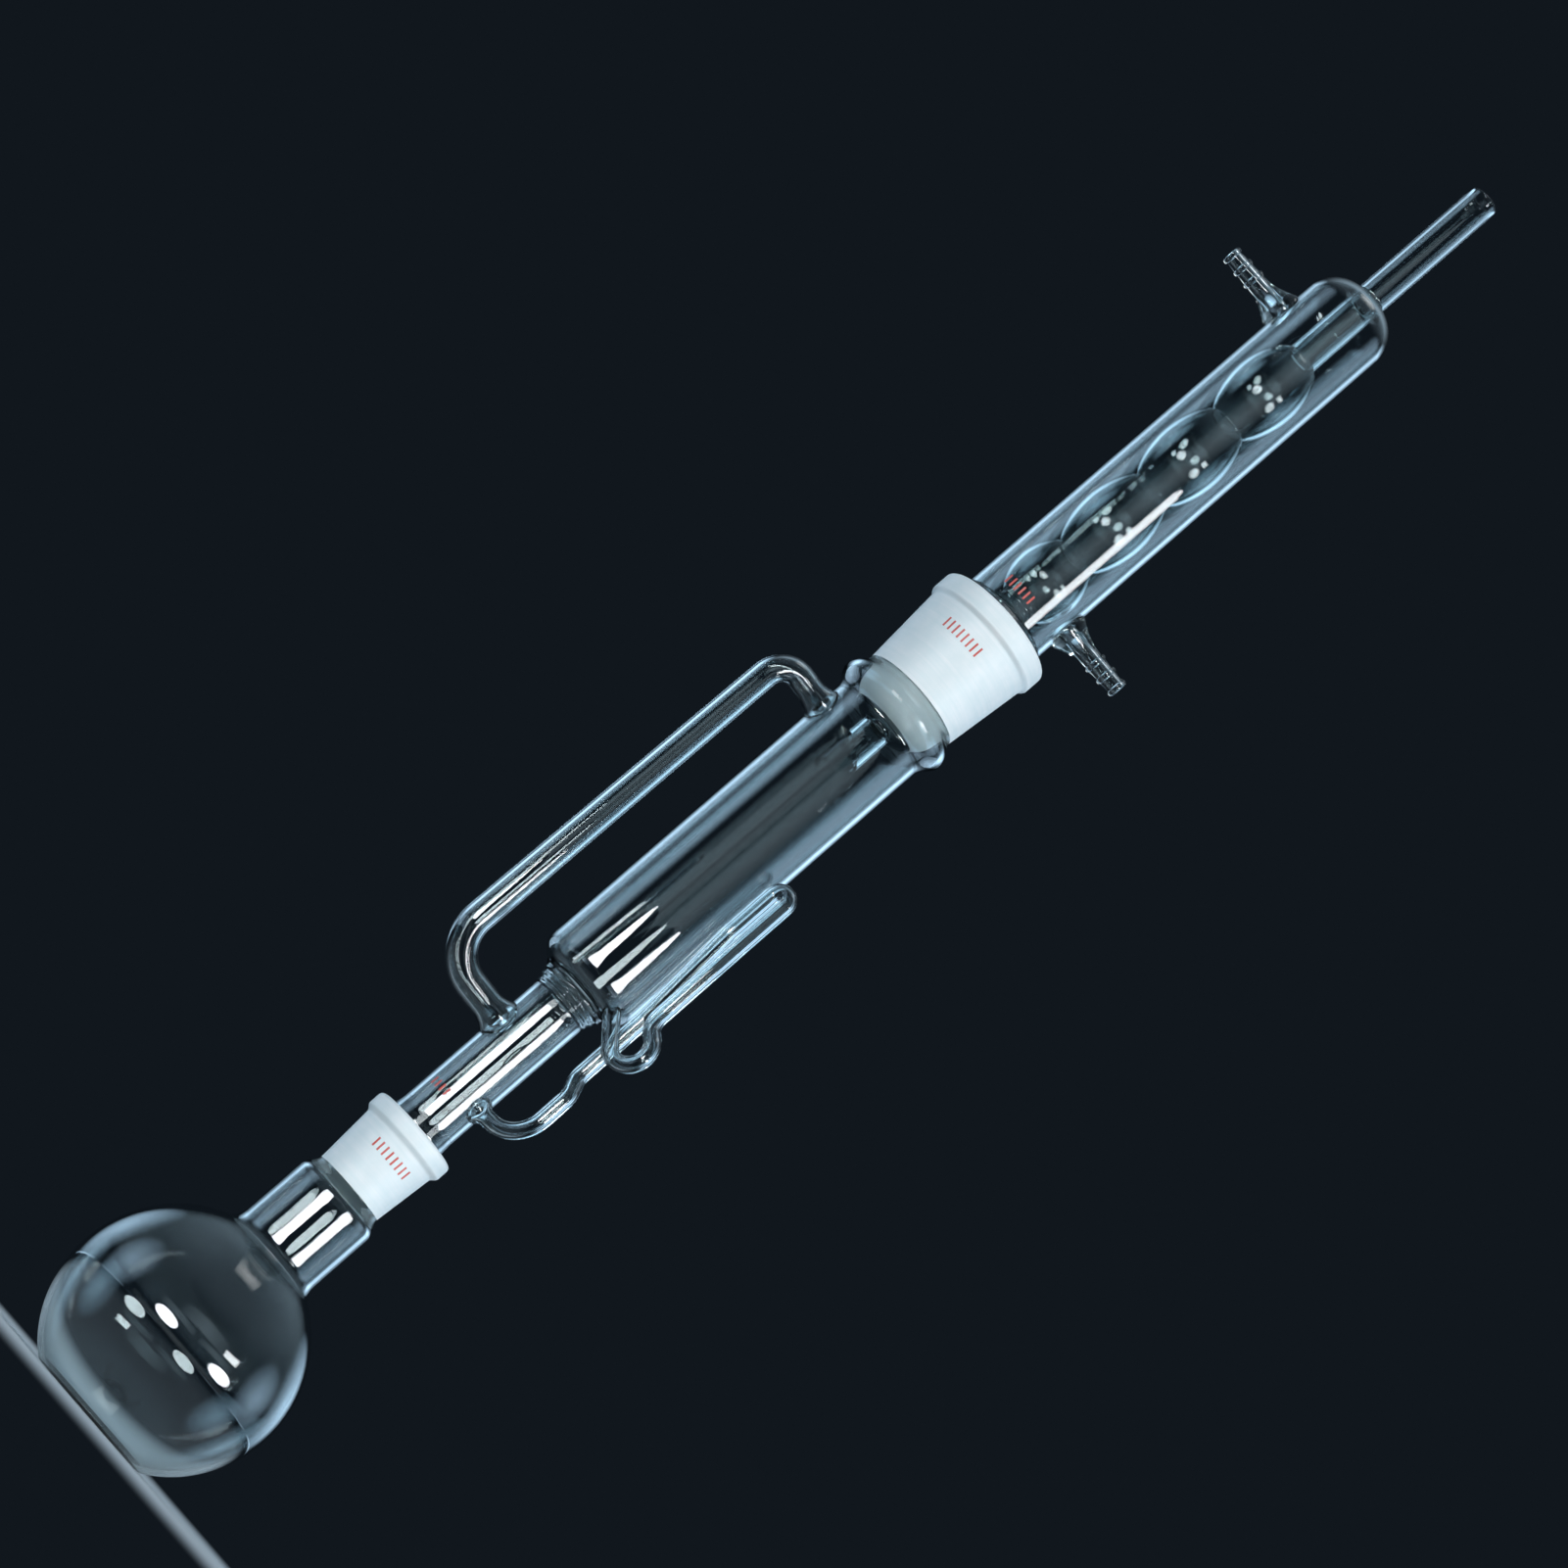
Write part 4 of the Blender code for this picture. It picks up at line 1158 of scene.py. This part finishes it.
def hangLamp(lamp, place, aim, size):
    bpy.ops.object.light_add(type="AREA", location=place,
                             rotation=(aim - place).to_track_quat("-Z", "Y").to_euler())
    light = bpy.context.object
    light.name = lamp["name"]
    light.visible_camera = False
    light.visible_transmission = lamp["through"]    # seen through glass
    light.visible_diffuse = lamp["sheds"]           # lights matt surfaces
    light.data.shape = lamp["shape"]
    light.data.size = size[0]
    light.data.size_y = size[1]
    light.data.color = srgb(lamp["colour"])[:3]
    light.data.spread = math.radians(lamp["spread"])
    half = light.data.spread / 2
    gather = math.tan(half) / (math.tan(half) - half)    # a narrow spread gathers the light
    # glow is what the glass sees
    light.data.energy = lamp["glow"] * math.pi * size[0] * size[1] / gather


def hangLamps():
    ceiling = {**studio["usual"], **studio["ceiling"]}
    size = ceiling["size"]
    hangLamp(ceiling, Vector((0, 0, ceiling["height"])), Vector((0, 0, 0)), (size, size))
    for own in studio["boxes"]:
        box = {**studio["usual"], **own}
        for turn in box["turns"]:
            side = math.radians(turn)
            place = Vector((math.sin(side), -math.cos(side), 0)) * box["distance"]
            place.z = (box["low"] + box["high"]) / 2
            hangLamp(box, place, Vector((0, 0, studio["aim"])), (box["width"], box["high"] - box["low"]))


def setBackdrop():
    world = bpy.data.worlds.new("darkBackdrop")
    bpy.context.scene.world = world
    world.use_nodes = True
    tree = world.node_tree
    tree.nodes.clear()
    sky = addNode(tree, "ShaderNodeTexCoord", {}).outputs["Generated"]
    height = addNode(tree, "ShaderNodeSeparateXYZ", {}, [(sky, "Vector")])
    lift = addNode(tree, "ShaderNodeMapRange",
                   {"interpolation_type": "SMOOTHSTEP", "From Min": studio["overheadFrom"],
                    "From Max": studio["overheadTo"]},
                   [(height.outputs["Z"], "Value")])
    tone = addNode(tree, "ShaderNodeMix", {"data_type": "RGBA"}, [(lift.outputs["Result"], "Factor")])
    tone.inputs[6].default_value = srgb(studio["backdrop"])
    tone.inputs[7].default_value = srgb(studio["overhead"])
    light = addNode(tree, "ShaderNodeBackground", {}, [(tone.outputs[2], "Color")])
    addNode(tree, "ShaderNodeOutputWorld", {}, [(light.outputs["Background"], "Surface")])


# The camera stands low in front, looks up and is rolled, so that the set lies across the frame
camera = {
    "distance": 1.3648,
    "height": 0.012,
    "tilt": math.radians(12.317),
    "pan": math.radians(0.2717),
    "roll": math.radians(49.03),
    "lens": 94.81,
    "nearest": 0.01,
}


def placeCamera():
    aim = Vector((-math.tan(camera["pan"]), math.cos(camera["tilt"]), math.sin(camera["tilt"])))
    turn = aim.to_track_quat("-Z", "Y") @ Quaternion((0, 0, 1), camera["roll"])
    place = Vector((0, -camera["distance"], camera["height"]))
    bpy.ops.object.camera_add(location=place, rotation=turn.to_euler())
    eye = bpy.context.object
    eye.data.lens = camera["lens"]
    eye.data.clip_start = camera["nearest"]
    bpy.context.scene.camera = eye


layFloor()
hangLamps()
setBackdrop()
placeCamera()
bpy.context.scene.view_settings.view_transform = "Standard"
print("studio set")
